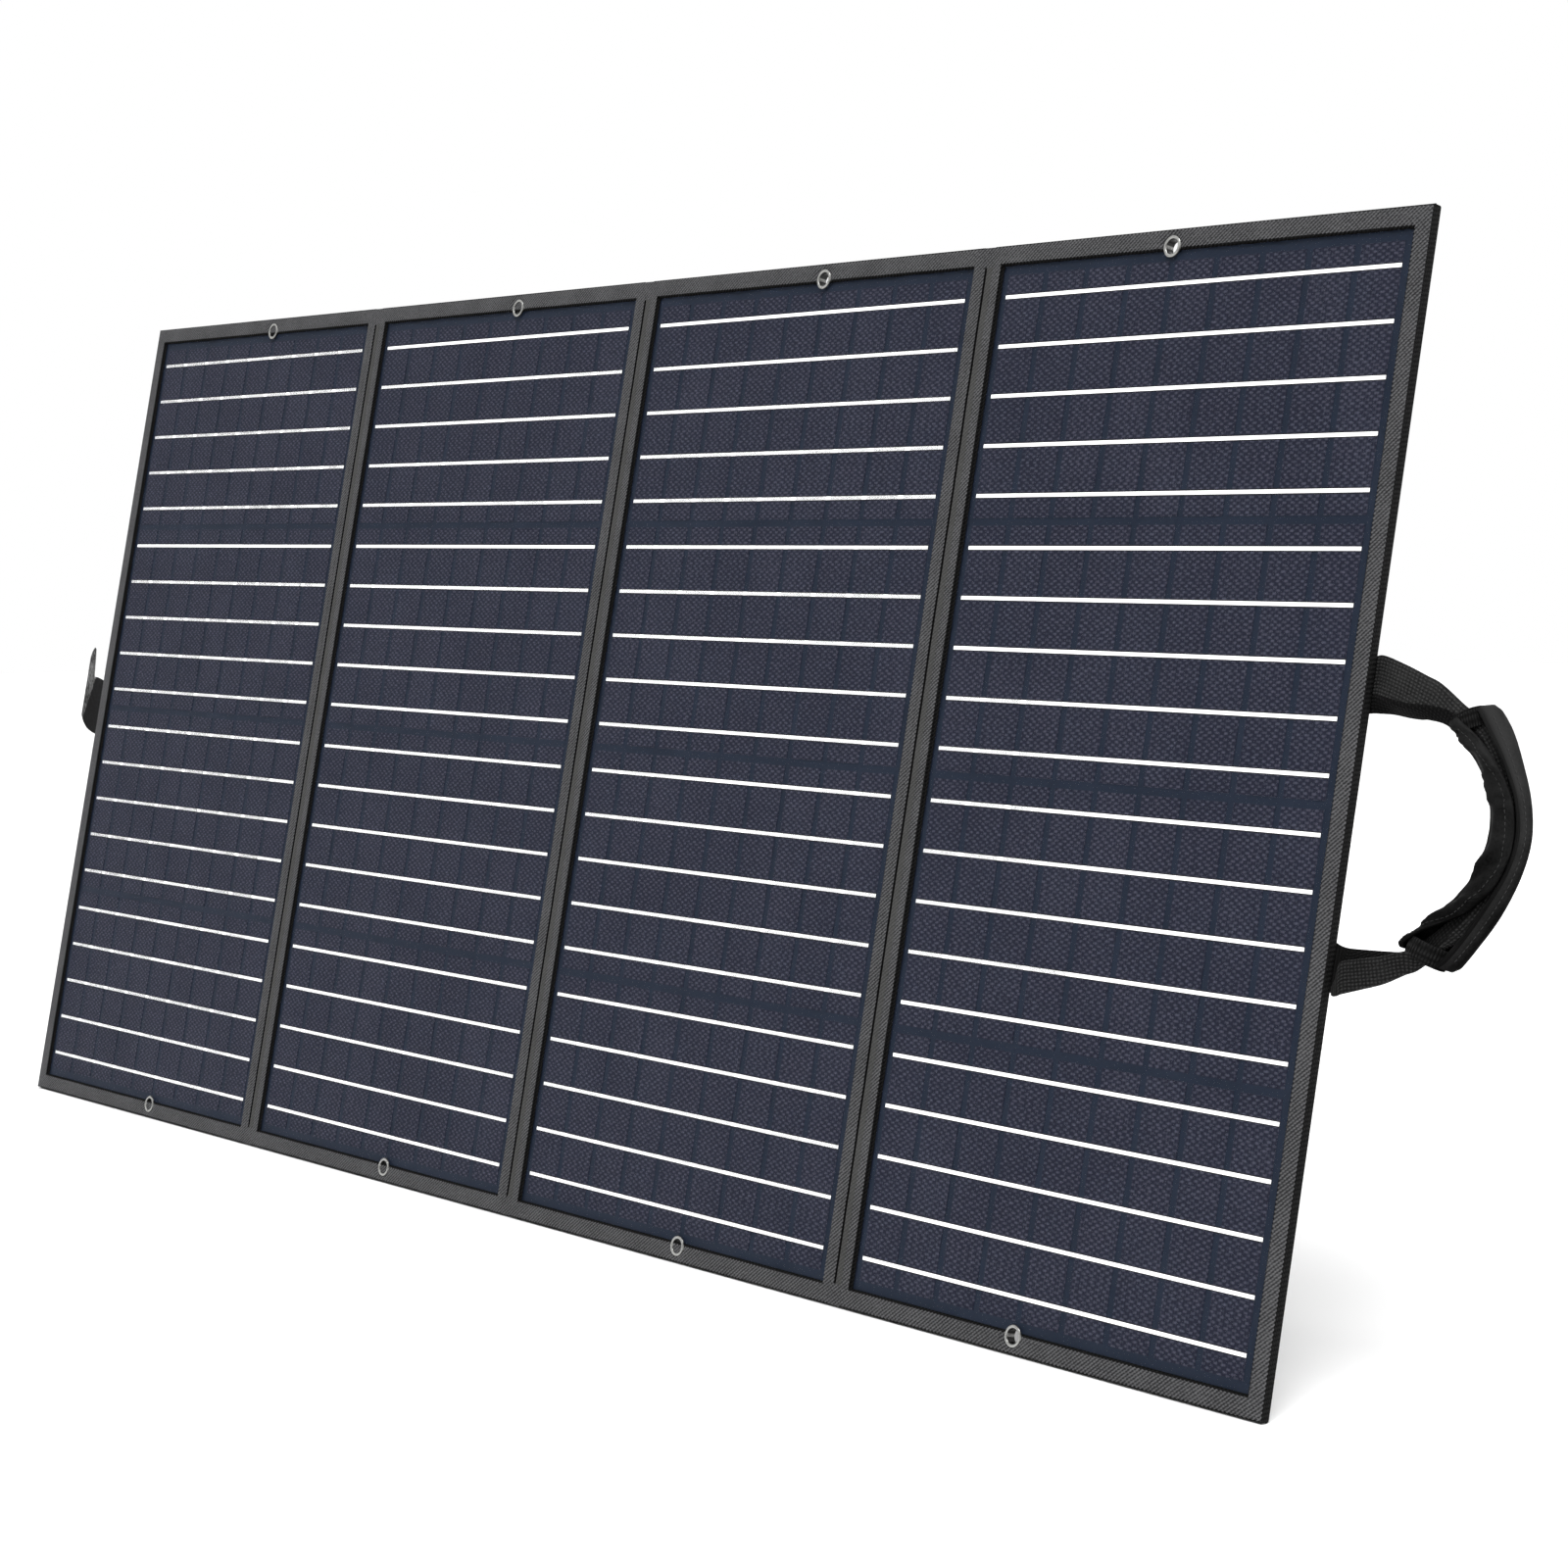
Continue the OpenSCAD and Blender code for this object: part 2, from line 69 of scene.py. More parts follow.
# ---------------------------------------------------------------- panel coordinates, taken from the frame
joints = {joint["name"]: joint for joint in frame["joints"]}
UP = Vector(joints["fold_left"]["axis"]).normalized()
RIGHT = Vector((1, 0, 0))
BACK = UP.cross(RIGHT)
TURN = Matrix((RIGHT, BACK, UP)).transposed()


@functools.cache
def turned_points(node):
    """A CAD node's points, turned upright, in metres."""
    return np.array([v.co for v in frame["nodes"][node].data.vertices]) @ np.array(TURN)


border = turned_points("border_3").min(0)
ORIGIN = np.array([joints["fold_middle"]["pos_m"][0], border[1], border[2]])
PANEL = TURN.to_4x4() @ Matrix.Translation(ORIGIN) @ Matrix.Scale(MM, 4)


def panel_box(node):
    """Lowest and highest corner of a CAD node in panel coordinates, in millimetres."""
    points = (turned_points(node) - ORIGIN) / MM
    return points.min(0), points.max(0)


def panel_point(place):
    """A point of the row frame in panel coordinates, in millimetres."""
    return PANEL.inverted() @ Vector(place)


def row_point(x, y, z):
    """A point in panel coordinates in the row frame, in metres."""
    return PANEL @ Vector((x, y, z))


HEIGHT = panel_box("back_cloth_1")[1][2]
LEAF_T = panel_box("back_cloth_1")[1][1]
CLOTH_FRONT = panel_box("back_cloth_1")[0][1]
FOLD_X = {name: panel_point(joints["fold_" + name]["pos_m"])[0] for name in ("left", "middle", "right")}
LEAF_EDGES = {i: (panel_box(f"back_cloth_{i}")[0][0], panel_box(f"back_cloth_{i}")[1][0]) for i in LEAVES}
LEAF_W = FOLD_X["middle"] - FOLD_X["left"]
HALF_W = 2 * LEAF_W
SIDE_BORDER = 10
END_BORDER = 9.8


def eyelet_spots(leaf):
    """The middles of a leaf's two eyelets, as (x, z)."""
    low, high = panel_box(f"eyelets_{leaf}")
    radius = (high[0] - low[0]) / 2
    return [(low[0] + radius, low[2] + radius), (low[0] + radius, high[2] - radius)]


# ---------------------------------------------------------------- camera
CAMERA_AZIMUTH = math.radians(50.258)
CAMERA_ELEVATION = math.radians(4.253)
camera_data = bpy.data.cameras.new("camera")
camera_data.lens = 75.12
camera_data.sensor_width = 36
camera = bpy.data.objects.new("camera", camera_data)
bpy.context.scene.collection.objects.link(camera)
camera.location = row_point(0, 0, 0) + Vector((1.4808, -1.0300, 0.3741))
towards = Vector((
    -math.sin(CAMERA_AZIMUTH) * math.cos(CAMERA_ELEVATION),
    math.cos(CAMERA_AZIMUTH) * math.cos(CAMERA_ELEVATION),
    -math.sin(CAMERA_ELEVATION),
))
camera.rotation_euler = towards.to_track_quat("-Z", "Y").to_euler()
bpy.context.scene.camera = camera
bpy.context.scene.view_settings.view_transform = "Standard"


# ---------------------------------------------------------------- light and floor
def aim(light, towards_light):
    """Turns a light so that it shines from the given direction."""
    light.rotation_euler = (-Vector(towards_light)).to_track_quat("-Z", "Y").to_euler()


def from_angles(azimuth, elevation):
    """A direction: azimuth 0 is the front, 90 the right; elevation is above the ground, in degrees."""
    a = math.radians(azimuth)
    e = math.radians(elevation)
    return Vector((math.sin(a) * math.cos(e), -math.cos(a) * math.cos(e), math.sin(e)))


def add_light(name, kind, strength, direction, distance=0.0, size=1.0):
    data = bpy.data.lights.new(name, kind)
    data.energy = strength
    if kind == "SUN":
        data.angle = math.radians(size)
    else:
        data.size = size
    light = bpy.data.objects.new(name, data)
    bpy.context.scene.collection.objects.link(light)
    light.location = direction * distance
    aim(light, direction)


def studio_world():
    """White for the camera; for everything else a soft dome, dim at the horizon and bright overhead."""
    world = bpy.data.worlds.new("studio")
    world.use_nodes = True
    nodes = world.node_tree.nodes
    links = world.node_tree.links
    nodes.clear()
    output = nodes.new("ShaderNodeOutputWorld")
    pick = nodes.new("ShaderNodeMixShader")
    path = nodes.new("ShaderNodeLightPath")
    seen = nodes.new("ShaderNodeBackground")
    dome = nodes.new("ShaderNodeBackground")
    coordinates = nodes.new("ShaderNodeTexCoord")
    split = nodes.new("ShaderNodeSeparateXYZ")
    ramp = nodes.new("ShaderNodeMapRange")
    ramp.inputs["From Min"].default_value = -0.05
    ramp.inputs["From Max"].default_value = 1.0
    ramp.inputs["To Min"].default_value = 0.55
    ramp.inputs["To Max"].default_value = 1.5
    seen.inputs["Color"].default_value = (1, 1, 1, 1)
    links.new(coordinates.outputs["Generated"], split.inputs["Vector"])
    links.new(split.outputs["Z"], ramp.inputs["Value"])
    links.new(ramp.outputs["Result"], dome.inputs["Strength"])
    links.new(path.outputs["Is Camera Ray"], pick.inputs["Fac"])
    links.new(dome.outputs["Background"], pick.inputs[1])
    links.new(seen.outputs["Background"], pick.inputs[2])
    links.new(pick.outputs["Shader"], output.inputs["Surface"])
    bpy.context.scene.world = world


def pale_floor():
    half = 7
    mesh = bpy.data.meshes.new("floor")
    corners = [(-half, -half, 0), (half, -half, 0), (half, half, 0), (-half, half, 0)]
    mesh.from_pydata(corners, [], [(0, 1, 2, 3)])
    floor = bpy.data.objects.new("floor", mesh)
    bpy.context.scene.collection.objects.link(floor)
    white = bpy.data.materials.new("floor_white")
    white.use_nodes = True
    shader = white.node_tree.nodes["Principled BSDF"]
    shader.inputs["Base Color"].default_value = (0.80, 0.80, 0.80, 1)
    shader.inputs["Roughness"].default_value = 0.9
    shader.inputs["Specular IOR Level"].default_value = 0.1
    mesh.materials.append(white)


studio_world()
pale_floor()
add_light("key", "SUN", 2.45, from_angles(36, 62), size=26)
add_light("side_strip", "AREA", 5, from_angles(104, 24), distance=1.5, size=0.7)
add_light("back_fill", "AREA", 14, from_angles(205, 28), distance=2.6, size=2.2)


# ---------------------------------------------------------------- materials
def wave_phase(x_per_mm, z_per_mm):
    """Turns cycles per millimetre into the two factors of a wave's phase, per metre."""
    return 2 * math.pi * x_per_mm / MM, 2 * math.pi * z_per_mm / MM


class Paint:
    """A node material, with short calls that add a node and give back its output."""

    def __init__(self, name, roughness, specular=0.3, sheen=0.0):
        self.material = bpy.data.materials.new(name)
        self.material.use_nodes = True
        self.tree = self.material.node_tree
        self.shader = self.tree.nodes["Principled BSDF"]
        self.shader.inputs["Roughness"].default_value = roughness
        self.shader.inputs["Specular IOR Level"].default_value = specular
        self.shader.inputs["Sheen Weight"].default_value = sheen

    def node(self, kind, **inputs):
        made = self.tree.nodes.new("ShaderNode" + kind)
        for name, value in inputs.items():
            self.feed(made.inputs[name.replace("_", " ")], value)
        return made

    def feed(self, socket, value):
        if isinstance(value, bpy.types.NodeSocket):
            self.tree.links.new(value, socket)
        else:
            socket.default_value = value

    def math(self, operation, first, second=0.0, third=0.0):
        made = self.tree.nodes.new("ShaderNodeMath")
        made.operation = operation
        for socket, value in zip(made.inputs, (first, second, third)):
            self.feed(socket, value)
        return made.outputs[0]

    def add(self, *values):
        total = values[0]
        for value in values[1:]:
            total = self.math("ADD", total, value)
        return total

    def place(self, own):
        """The panel's coordinates: a CAD node's own ones, turned upright, or a piece's woven ones."""
        if own:
            coordinates = self.node("TexCoord").outputs["Object"]
            turn = self.node("Mapping", Vector=coordinates)
            turn.inputs["Rotation"].default_value = TURN.transposed().to_euler()
            split = self.node("SeparateXYZ", Vector=turn.outputs[0])
            return turn.outputs[0], split.outputs["X"], split.outputs["Z"]
        woven = self.node("Attribute")
        woven.attribute_name = "weave"
        split = self.node("SeparateXYZ", Vector=woven.outputs["Vector"])
        return woven.outputs["Vector"], split.outputs["X"], split.outputs["Y"]

    def own_normal(self):
        """The direction the surface faces, turned upright, as its parts along X, Y and Z."""
        turn = self.node("Mapping", Vector=self.node("TexCoord").outputs["Normal"])
        turn.vector_type = "NORMAL"
        turn.inputs["Rotation"].default_value = TURN.transposed().to_euler()
        split = self.node("SeparateXYZ", Vector=turn.outputs[0])
        return [split.outputs[axis] for axis in "XYZ"]

    def shaded_below(self, level, amount):
        """Lowers a colour level on surfaces that face down: painted shade."""
        _, _, up = self.own_normal()
        return self.math("SUBTRACT", level, self.remap(up, -0.8, 0.35, amount, 0.0))

    def wave(self, x, z, x_per_mm, z_per_mm):
        """A cosine wave over the cloth, from -1 to 1."""
        x_factor, z_factor = wave_phase(x_per_mm, z_per_mm)
        phase = self.add(self.math("MULTIPLY", x, x_factor), self.math("MULTIPLY", z, z_factor))
        return self.math("COSINE", phase)

    def cloud(self, vector, scale, detail=2.0):
        """Soft noise, from 0 to 1, with the given number of blobs in a metre."""
        return self.node("TexNoise", Vector=vector, Scale=scale, Detail=detail).outputs["Fac"]

    def remap(self, value, from_low, from_high, to_low, to_high):
        made = self.node("MapRange", Value=value)
        for name, number in zip(("From Min", "From Max", "To Min", "To Max"),
                                (from_low, from_high, to_low, to_high)):
            made.inputs[name].default_value = number
        return made.outputs["Result"]

    def clamped(self, value):
        return self.math("MAXIMUM", self.math("MINIMUM", value, 1.15), 0.0)

    def mix(self, factor, first, second):
        made = self.tree.nodes.new("ShaderNodeMix")
        made.data_type = "RGBA"
        self.feed(made.inputs[0], factor)
        self.feed(made.inputs[6], first)
        self.feed(made.inputs[7], second)
        return made.outputs[2]

    def color(self, value):
        self.feed(self.shader.inputs["Base Color"], value)

    def roughness(self, value):
        self.feed(self.shader.inputs["Roughness"], value)

    def relief(self, height, depth_mm, strength=0.6):
        made = self.node("Bump", Height=height)
        made.inputs["Distance"].default_value = depth_mm * MM
        made.inputs["Strength"].default_value = strength
        self.feed(self.shader.inputs["Normal"], made.outputs["Normal"])


def grey(value, red=1.0, blue=1.0):
    """A linear colour near grey."""
    return (value * red, value, value * blue, 1)


# Cycles per millimetre of the ribs of the twill, across and up
TWILL_X = 0.406
TWILL_Z = -0.480


def twill(name, dark, light, contrast=1.0, specular=0.2, sheen=0.03, own=False):
    """Steep twill: slanting ribs, broken into short floats by crossing ribs and rows."""
    paint = Paint(name, 0.78, specular, sheen)
    vector, x, z = paint.place(own)
    drift = paint.remap(paint.cloud(vector, 120), 0.3, 0.7, -0.0002, 0.0002)
    x = paint.add(x, drift)
    ribs = paint.wave(x, z, TWILL_X, TWILL_Z)
    crossing = paint.math("MULTIPLY", paint.wave(x, z, 0.43, 0.477), 0.36)
    rows = paint.math("MULTIPLY", paint.wave(x, z, 0.0, 0.96), 0.26)
    weave = paint.add(ribs, crossing, rows)
    patches = paint.cloud(vector, 55)
    threads = paint.cloud(vector, 700)
    level = paint.remap(weave, -0.95 / contrast, 1.25 / contrast, 0.0, 1.0)
    level = paint.add(level, paint.remap(threads, 0.3, 0.7, -0.3, 0.3), paint.remap(patches, 0.3, 0.7, -0.1, 0.1))
    paint.color(paint.mix(paint.clamped(level), dark, light))
    paint.roughness(paint.remap(threads, 0.3, 0.7, 0.68, 0.88))
    paint.relief(weave, 0.2, 0.7)
    return paint.material


def plain_weave(name, dark, light, x_per_mm, z_per_mm, depth=0.12, roughness=0.8, own=False, sheen=0.08):
    """Plain weave: a checkerboard of threads that pass over and under each other."""
    paint = Paint(name, roughness, 0.25, sheen)
    vector, x, z = paint.place(own)
    across = paint.wave(x, z, x_per_mm, 0.0)
    up = paint.wave(x, z, 0.0, z_per_mm)
    checks = paint.math("MULTIPLY", across, up)
    grid = paint.add(paint.wave(x, z, 2 * x_per_mm, 0.0), paint.wave(x, z, 0.0, 2 * z_per_mm))
    weave = paint.add(paint.math("MULTIPLY", checks, 0.8), paint.math("MULTIPLY", grid, -0.22))
    threads = paint.cloud(vector, 800)
    patches = paint.cloud(vector, 35)
    level = paint.remap(weave, -0.9, 1.0, 0.0, 1.0)
    level = paint.add(level, paint.remap(threads, 0.3, 0.7, -0.2, 0.2), paint.remap(patches, 0.3, 0.7, -0.1, 0.1))
    paint.color(paint.mix(level, dark, light))
    paint.roughness(paint.remap(threads, 0.3, 0.7, roughness - 0.08, min(roughness + 0.08, 1.0)))
    paint.relief(weave, depth, 0.6)
    return paint.material


def webbing_weave(name, dark, light, specular=0.2):
    """Heavy webbing: small knots in straight rows, with dark gaps between them, and painted shade underneath."""
    paint = Paint(name, 0.75, specular, 0.02)
    vector, x, z = paint.place(False)
    columns = paint.wave(x, z, 0.66, 0.0)
    rows = paint.wave(x, z, 0.0, 0.5)
    knots = paint.math("MULTIPLY", paint.math("MULTIPLY", columns, rows), 0.35)
    weave = paint.add(paint.math("MULTIPLY", columns, 0.45), paint.math("MULTIPLY", rows, 0.4), knots)
    threads = paint.cloud(vector, 900)
    patches = paint.cloud(vector, 60)
    level = paint.add(paint.remap(weave, -1.0, 1.1, 0.0, 1.0), paint.remap(threads, 0.3, 0.7, -0.2, 0.2),
                      paint.remap(patches, 0.3, 0.7, -0.12, 0.12))
    paint.color(paint.mix(paint.clamped(paint.shaded_below(level, 0.5)), dark, light))
    paint.relief(weave, 0.4, 0.8)
    return paint.material


def fuzzy(name, dark, light, grain, depth, sheen, roughness, specular):
    """Brushed or looped surface: no weave shows, only a soft broken nap, with painted shade where it faces down."""
    paint = Paint(name, roughness, specular, sheen)
    vector, _, _ = paint.place(False)
    nap = paint.cloud(vector, grain, 6.0)
    patches = paint.cloud(vector, grain / 12)
    level = paint.add(paint.remap(nap, 0.32, 0.68, 0.0, 0.85), paint.remap(patches, 0.35, 0.65, -0.2, 0.3))
    paint.color(paint.mix(paint.clamped(paint.shaded_below(level, 0.8)), dark, light))
    paint.relief(nap, depth, 0.8)
    return paint.material


def grip_skin():
    """The grip's smooth skin, lit in paint: a painted highlight along its rolled lip, painted light towards its
    upper end, and painted shade where it faces down.
    """
    paint = Paint("grip_skin", 0.6, 0.04)
    vector, around, along = paint.place(False)
    nap = paint.cloud(vector, 900, 6.0)
    patches = paint.cloud(vector, 70, 3.0)
    level = paint.add(
        paint.remap(nap, 0.32, 0.68, 0.0, 0.25),
        paint.remap(patches, 0.35, 0.65, -0.10, 0.22),
        # Painted light towards the upper end, and a painted highlight along the rolled lip
        paint.remap(along, 0.030, 0.125, 0.0, 0.55),
        paint.remap(around, 0.0015, 0.005, 0.5, 0.0),
    )
    paint.color(paint.mix(paint.clamped(paint.shaded_below(level, 0.3)), grey(0.0006), grey(0.019)))
    paint.relief(nap, 0.10, 0.8)
    return paint.material


def moulded(name, dark, light, roughness=0.5, grain=900, own=True, metallic=0.0, depth=0.03):
    """Moulded plastic or plain metal with a fine grain and slight wear."""
    paint = Paint(name, roughness, 0.5)
    paint.shader.inputs["Metallic"].default_value = metallic
    vector, _, _ = paint.place(own)
    fine = paint.cloud(vector, grain, 4.0)
    worn = paint.cloud(vector, 60)
    level = paint.remap(worn, 0.35, 0.65, 0.0, 1.0)
    paint.color(paint.mix(level, dark, light))
    paint.roughness(paint.add(paint.remap(fine, 0.3, 0.7, -0.06, 0.06),
                              paint.remap(worn, 0.35, 0.65, roughness - 0.05, roughness + 0.07)))
    paint.relief(fine, depth, 0.4)
    return paint.material


def canvas_print(paint, vector, x, z):
    """Rows of short dashes, shifted by half a step and a little more from each row to the next, from 0 to 1."""
    row_place = paint.math("MULTIPLY", z, 0.704 / MM)
    row = paint.math("FLOOR", row_place)
    shift = paint.node("TexWhiteNoise")
    shift.noise_dimensions = "1D"
    paint.feed(shift.inputs["W"], row)
    jitter = paint.remap(shift.outputs["Value"], 0.0, 1.0, -0.55, 0.55)
    warp = paint.remap(paint.cloud(vector, 160, 3.0), 0.3, 0.7, -0.9, 0.9)
    along = paint.math("MULTIPLY", x, 2 * math.pi * 0.203 / MM)
    phase = paint.add(along, paint.math("MULTIPLY", row, math.pi), jitter, warp)
    dash = paint.remap(paint.math("COSINE", phase), -0.6, 0.9, 0.0, 1.0)
    across_row = paint.math("SINE", paint.math("MULTIPLY", paint.math("FRACT", row_place), math.pi))
    return paint.math("MULTIPLY", dash, paint.math("POWER", across_row, 0.7))


def cell_weave():
    """The cells: dark slate with the laminate's woven print, in rows of short light dashes."""
    paint = Paint("cell_weave", 0.55, 0.1)
    vector, x, z = paint.place(True)
    dashes = canvas_print(paint, vector, x, z)
    threads = paint.cloud(vector, 480, 3.0)
    patches = paint.cloud(vector, 22, 3.0)
    columns = paint.remap(paint.wave(x, z, 0.61, 0.0), -1.0, 1.0, -0.10, 0.06)
    level = paint.add(
        paint.math("MULTIPLY", dashes, paint.remap(threads, 0.35, 0.65, 0.45, 1.15)),
        paint.remap(threads, 0.3, 0.7, -0.14, 0.14),
        paint.remap(patches, 0.3, 0.7, -0.06, 0.10),
        columns,
    )
    tint = paint.mix(paint.cloud(vector, 60), (0.061, 0.058, 0.084, 1), (0.052, 0.060, 0.087, 1))
    paint.color(paint.mix(paint.clamped(level), (0.0110, 0.0125, 0.0240, 1), tint))
    paint.relief(dashes, 0.06, 0.4)
    return paint.material


def laminate():
    """The dark navy sheet behind the cells, faintly textured by the cloth under it."""
    paint = Paint("navy_laminate", 0.5, 0.12)
    vector, x, z = paint.place(True)
    checks = paint.math("MULTIPLY", paint.wave(x, z, 0.203, 0.0), paint.wave(x, z, 0.0, 0.352))
    patches = paint.cloud(vector, 30, 3.0)
    level = paint.add(paint.remap(patches, 0.3, 0.7, 0.0, 0.8), paint.math("MULTIPLY", checks, 0.12))
    paint.color(paint.mix(level, (0.0095, 0.0150, 0.0280, 1), (0.0135, 0.0200, 0.0360, 1)))
    paint.relief(checks, 0.05, 0.3)
    return paint.material


def clear_film():
    """Thin satin film: almost invisible, a little hazier at a low angle, with faint handling marks."""
    paint = Paint("clear_film", 0.5, 0.0)
    vector, _, _ = paint.place(True)
    marks = paint.cloud(vector, 9, 4.0)
    paint.color(paint.mix(marks, (0.040, 0.044, 0.062, 1), (0.060, 0.066, 0.090, 1)))
    paint.roughness(paint.remap(marks, 0.3, 0.7, 0.46, 0.56))
    edge_on = paint.node("LayerWeight")
    edge_on.inputs["Blend"].default_value = 0.35
    paint.feed(paint.shader.inputs["Alpha"], paint.remap(edge_on.outputs["Facing"], 0.2, 0.9, 0.01, 0.04))
    return paint.material


def ribbon_tin():
    """Tinned ribbon: near white and glowing a little as painted light, with a slight grain along its length and
    greyer solder spots.
    """
    paint = Paint("ribbon_tin", 0.5, 0.6)
    vector, x, z = paint.place(True)
    along = paint.node("Mapping", Vector=vector)
    along.inputs["Scale"].default_value = (60, 900, 900)
    grain = paint.node("TexNoise", Vector=along.outputs[0], Scale=1.0, Detail=2.0).outputs["Fac"]
    spots = paint.cloud(vector, 90, 1.0)
    level = paint.add(paint.remap(grain, 0.3, 0.7, 0.0, 0.4), paint.remap(spots, 0.68, 0.75, 0.0, 0.4))
    paint.color(paint.mix(level, (1.0, 1.0, 1.0, 1), (0.95, 0.95, 0.96, 1)))
    # Painted light: the ribbon glows a little so that it reads near white
    paint.shader.inputs["Emission Color"].default_value = (1, 1, 1, 1)
    paint.shader.inputs["Emission Strength"].default_value = 0.35
    paint.relief(grain, 0.02, 0.2)
    return paint.material


def nickel():
    """Nickel eyelets, lit in paint: a painted highlight where the metal faces forward, painted shade down the bore
    and round the rolled edge, and a painted reflection where the bore's wall faces sideways.
    """
    paint = Paint("nickel", 0.25, 0.5)
    paint.shader.inputs["Metallic"].default_value = 0.9
    vector, _, _ = paint.place(True)
    worn = paint.cloud(vector, 260, 5.0)
    _, forward, up = paint.own_normal()
    # Painted light: a painted highlight on forward faces, a painted reflection on sideways faces, painted shade
    # elsewhere
    face = paint.remap(paint.math("ABSOLUTE", forward), 0.62, 0.97, 0.0, 1.0)
    glint = paint.remap(paint.math("ABSOLUTE", up), 0.10, 0.30, 0.55, 0.0)
    level = paint.math("MAXIMUM", face, glint)
    bright = paint.mix(worn, (0.34, 0.34, 0.33, 1), (0.60, 0.60, 0.58, 1))
    paint.color(paint.mix(level, (0.02, 0.02, 0.02, 1), bright))
    paint.roughness(paint.remap(worn, 0.3, 0.7, 0.18, 0.36))
    paint.relief(worn, 0.05, 0.5)
    return paint.material


def circuit_green():
    paint = Paint("circuit_green", 0.4, 0.5)
    vector, x, z = paint.place(True)
    tracks = paint.math("MULTIPLY", paint.wave(x, z, 0.22, 0.0), paint.wave(x, z, 0.05, 0.2))
    level = paint.remap(tracks, 0.3, 0.45, 0.0, 1.0)
    paint.color(paint.mix(level, (0.010, 0.085, 0.035, 1), (0.10, 0.24, 0.09, 1)))
    paint.relief(level, 0.05, 0.5)
    return paint.material


BORDER_TWILL = twill("border_twill", grey(0.011, 0.98, 1.12), grey(0.100, 1.0, 1.04))
FOLD_TWILL = twill("fold_twill", grey(0.030, 1.0, 0.97), grey(0.062, 1.0, 0.97), contrast=0.6)
EDGE_TWILL = twill("edge_twill", grey(0.0015), grey(0.009), specular=0.08, sheen=0.0)
# Near-black cloth for the fold's crease groove: painted shade
CREASE_SHADE = twill("crease", grey(0.0015), grey(0.005), specular=0.05, sheen=0.0)
BACK_OXFORD = plain_weave("back_oxford", grey(0.006), grey(0.030, 1.0, 1.05), 0.55, 0.55)
STAND_OXFORD = plain_weave("stand_oxford", grey(0.008), grey(0.034, 1.0, 1.03), 0.42, 0.42)
POCKET_OXFORD = plain_weave("pocket_oxford", grey(0.008), grey(0.040, 1.0, 1.04), 0.55, 0.55)
BINDING = plain_weave("binding_tape", grey(0.006), grey(0.022), 0.9, 0.28, 0.2)
WEBBING = webbing_weave("webbing", grey(0.0010), grey(0.036), 0.12)
# A darker copy of the webbing: painted shade
WEBBING_SHADED = webbing_weave("webbing_shaded", grey(0.0015), grey(0.007), specular=0.05)
GRIP_OUTSIDE = grip_skin()
GRIP_INSIDE = fuzzy("grip_inside", grey(0.0008), grey(0.006), 700, 0.5, 0.0, 1.0, 0.03)
GRIP_BINDING = webbing_weave("grip_binding", grey(0.0006), grey(0.014), 0.05)
CLOSURE_SMOOTH = fuzzy("closure_smooth", grey(0.006), grey(0.011, 1.0, 1.1), 500, 0.03, 0.0, 0.75, 0.15)
HOOK_NAP = fuzzy("hook_nap", grey(0.024), grey(0.22), 520, 0.4, 0.2, 0.95, 0.1)
LOOP_NAP = fuzzy("loop_nap", grey(0.008), grey(0.045), 650, 0.6, 0.2, 0.95, 0.1)
THREAD = plain_weave("thread", grey(0.02), grey(0.075), 1.2, 1.2, 0.05, 0.6)
THREAD_DARK = plain_weave("thread_dark", grey(0.006), grey(0.024), 1.2, 1.2, 0.05, 0.6)
ZIP_TAPE = plain_weave("zip_tape", grey(0.005), grey(0.022), 1.1, 0.35, 0.12)
# Near-black for the strips beside the ribbons: painted shade
RIBBON_EDGE_SHADE = moulded("painted_ribbon_edge_shade", grey(0.002), grey(0.006), 0.8, 700, own=False)

CAD_LOOKS = {
    "film": clear_film(),
    "ribbons": ribbon_tin(),
    "cells": cell_weave(),
    "backing": laminate(),
    "board": moulded("board_grey", grey(0.020), grey(0.032), 0.8, 300),
    "kickstand_board": moulded("stand_board_grey", grey(0.035), grey(0.050), 0.8, 300),
    "eyelets": nickel(),
    "zip_teeth": moulded("zip_teeth", grey(0.006), grey(0.012), 0.4),
    "zip_slider": moulded("zip_slider", grey(0.16), grey(0.28), 0.35, metallic=1.0),
    "zip_pull": moulded("zip_pull", grey(0.02), grey(0.035), 0.45),
    "control_box_base": moulded("box_base", grey(0.022), grey(0.032), 0.55),
    "control_box_lid": moulded("box_lid", grey(0.028), grey(0.040), 0.5),
    "control_board": circuit_green(),
    "output_sockets": moulded("socket_tin", grey(0.45), grey(0.62), 0.3, metallic=1.0),
    "cable_gland": moulded("gland_rubber", grey(0.010), grey(0.018), 0.6),
    "box_screws": moulded("screw_steel", grey(0.40), grey(0.55), 0.3, metallic=1.0),
}


def dress_cad_nodes():
    for name, node in frame["nodes"].items():
        looks = [CAD_LOOKS[start] for start in CAD_LOOKS if name.startswith(start)]
        for slot in node.material_slots:
            if looks:
                slot.material = looks[0]


# ---------------------------------------------------------------- mesh helpers
def signed_volume(points, faces):
    """Volume inside closed faces: above zero if they look outwards."""
    triangles = np.array([(face[0], a, b) for face in faces for a, b in zip(face[1:-1], face[2:])])
    first, second, third = (points[triangles[:, k]] for k in range(3))
    return np.einsum("ij,ij->", first, np.cross(second, third)) / 6


def oriented(points, faces, inward=False):
    """The same faces, turned so that they look out of the solid, or into it for a cavity."""
    centred = np.asarray(points, float) - np.mean(points, 0)
    if (signed_volume(centred, faces) < 0) != inward:
        return [tuple(reversed(face)) for face in faces]
    return faces


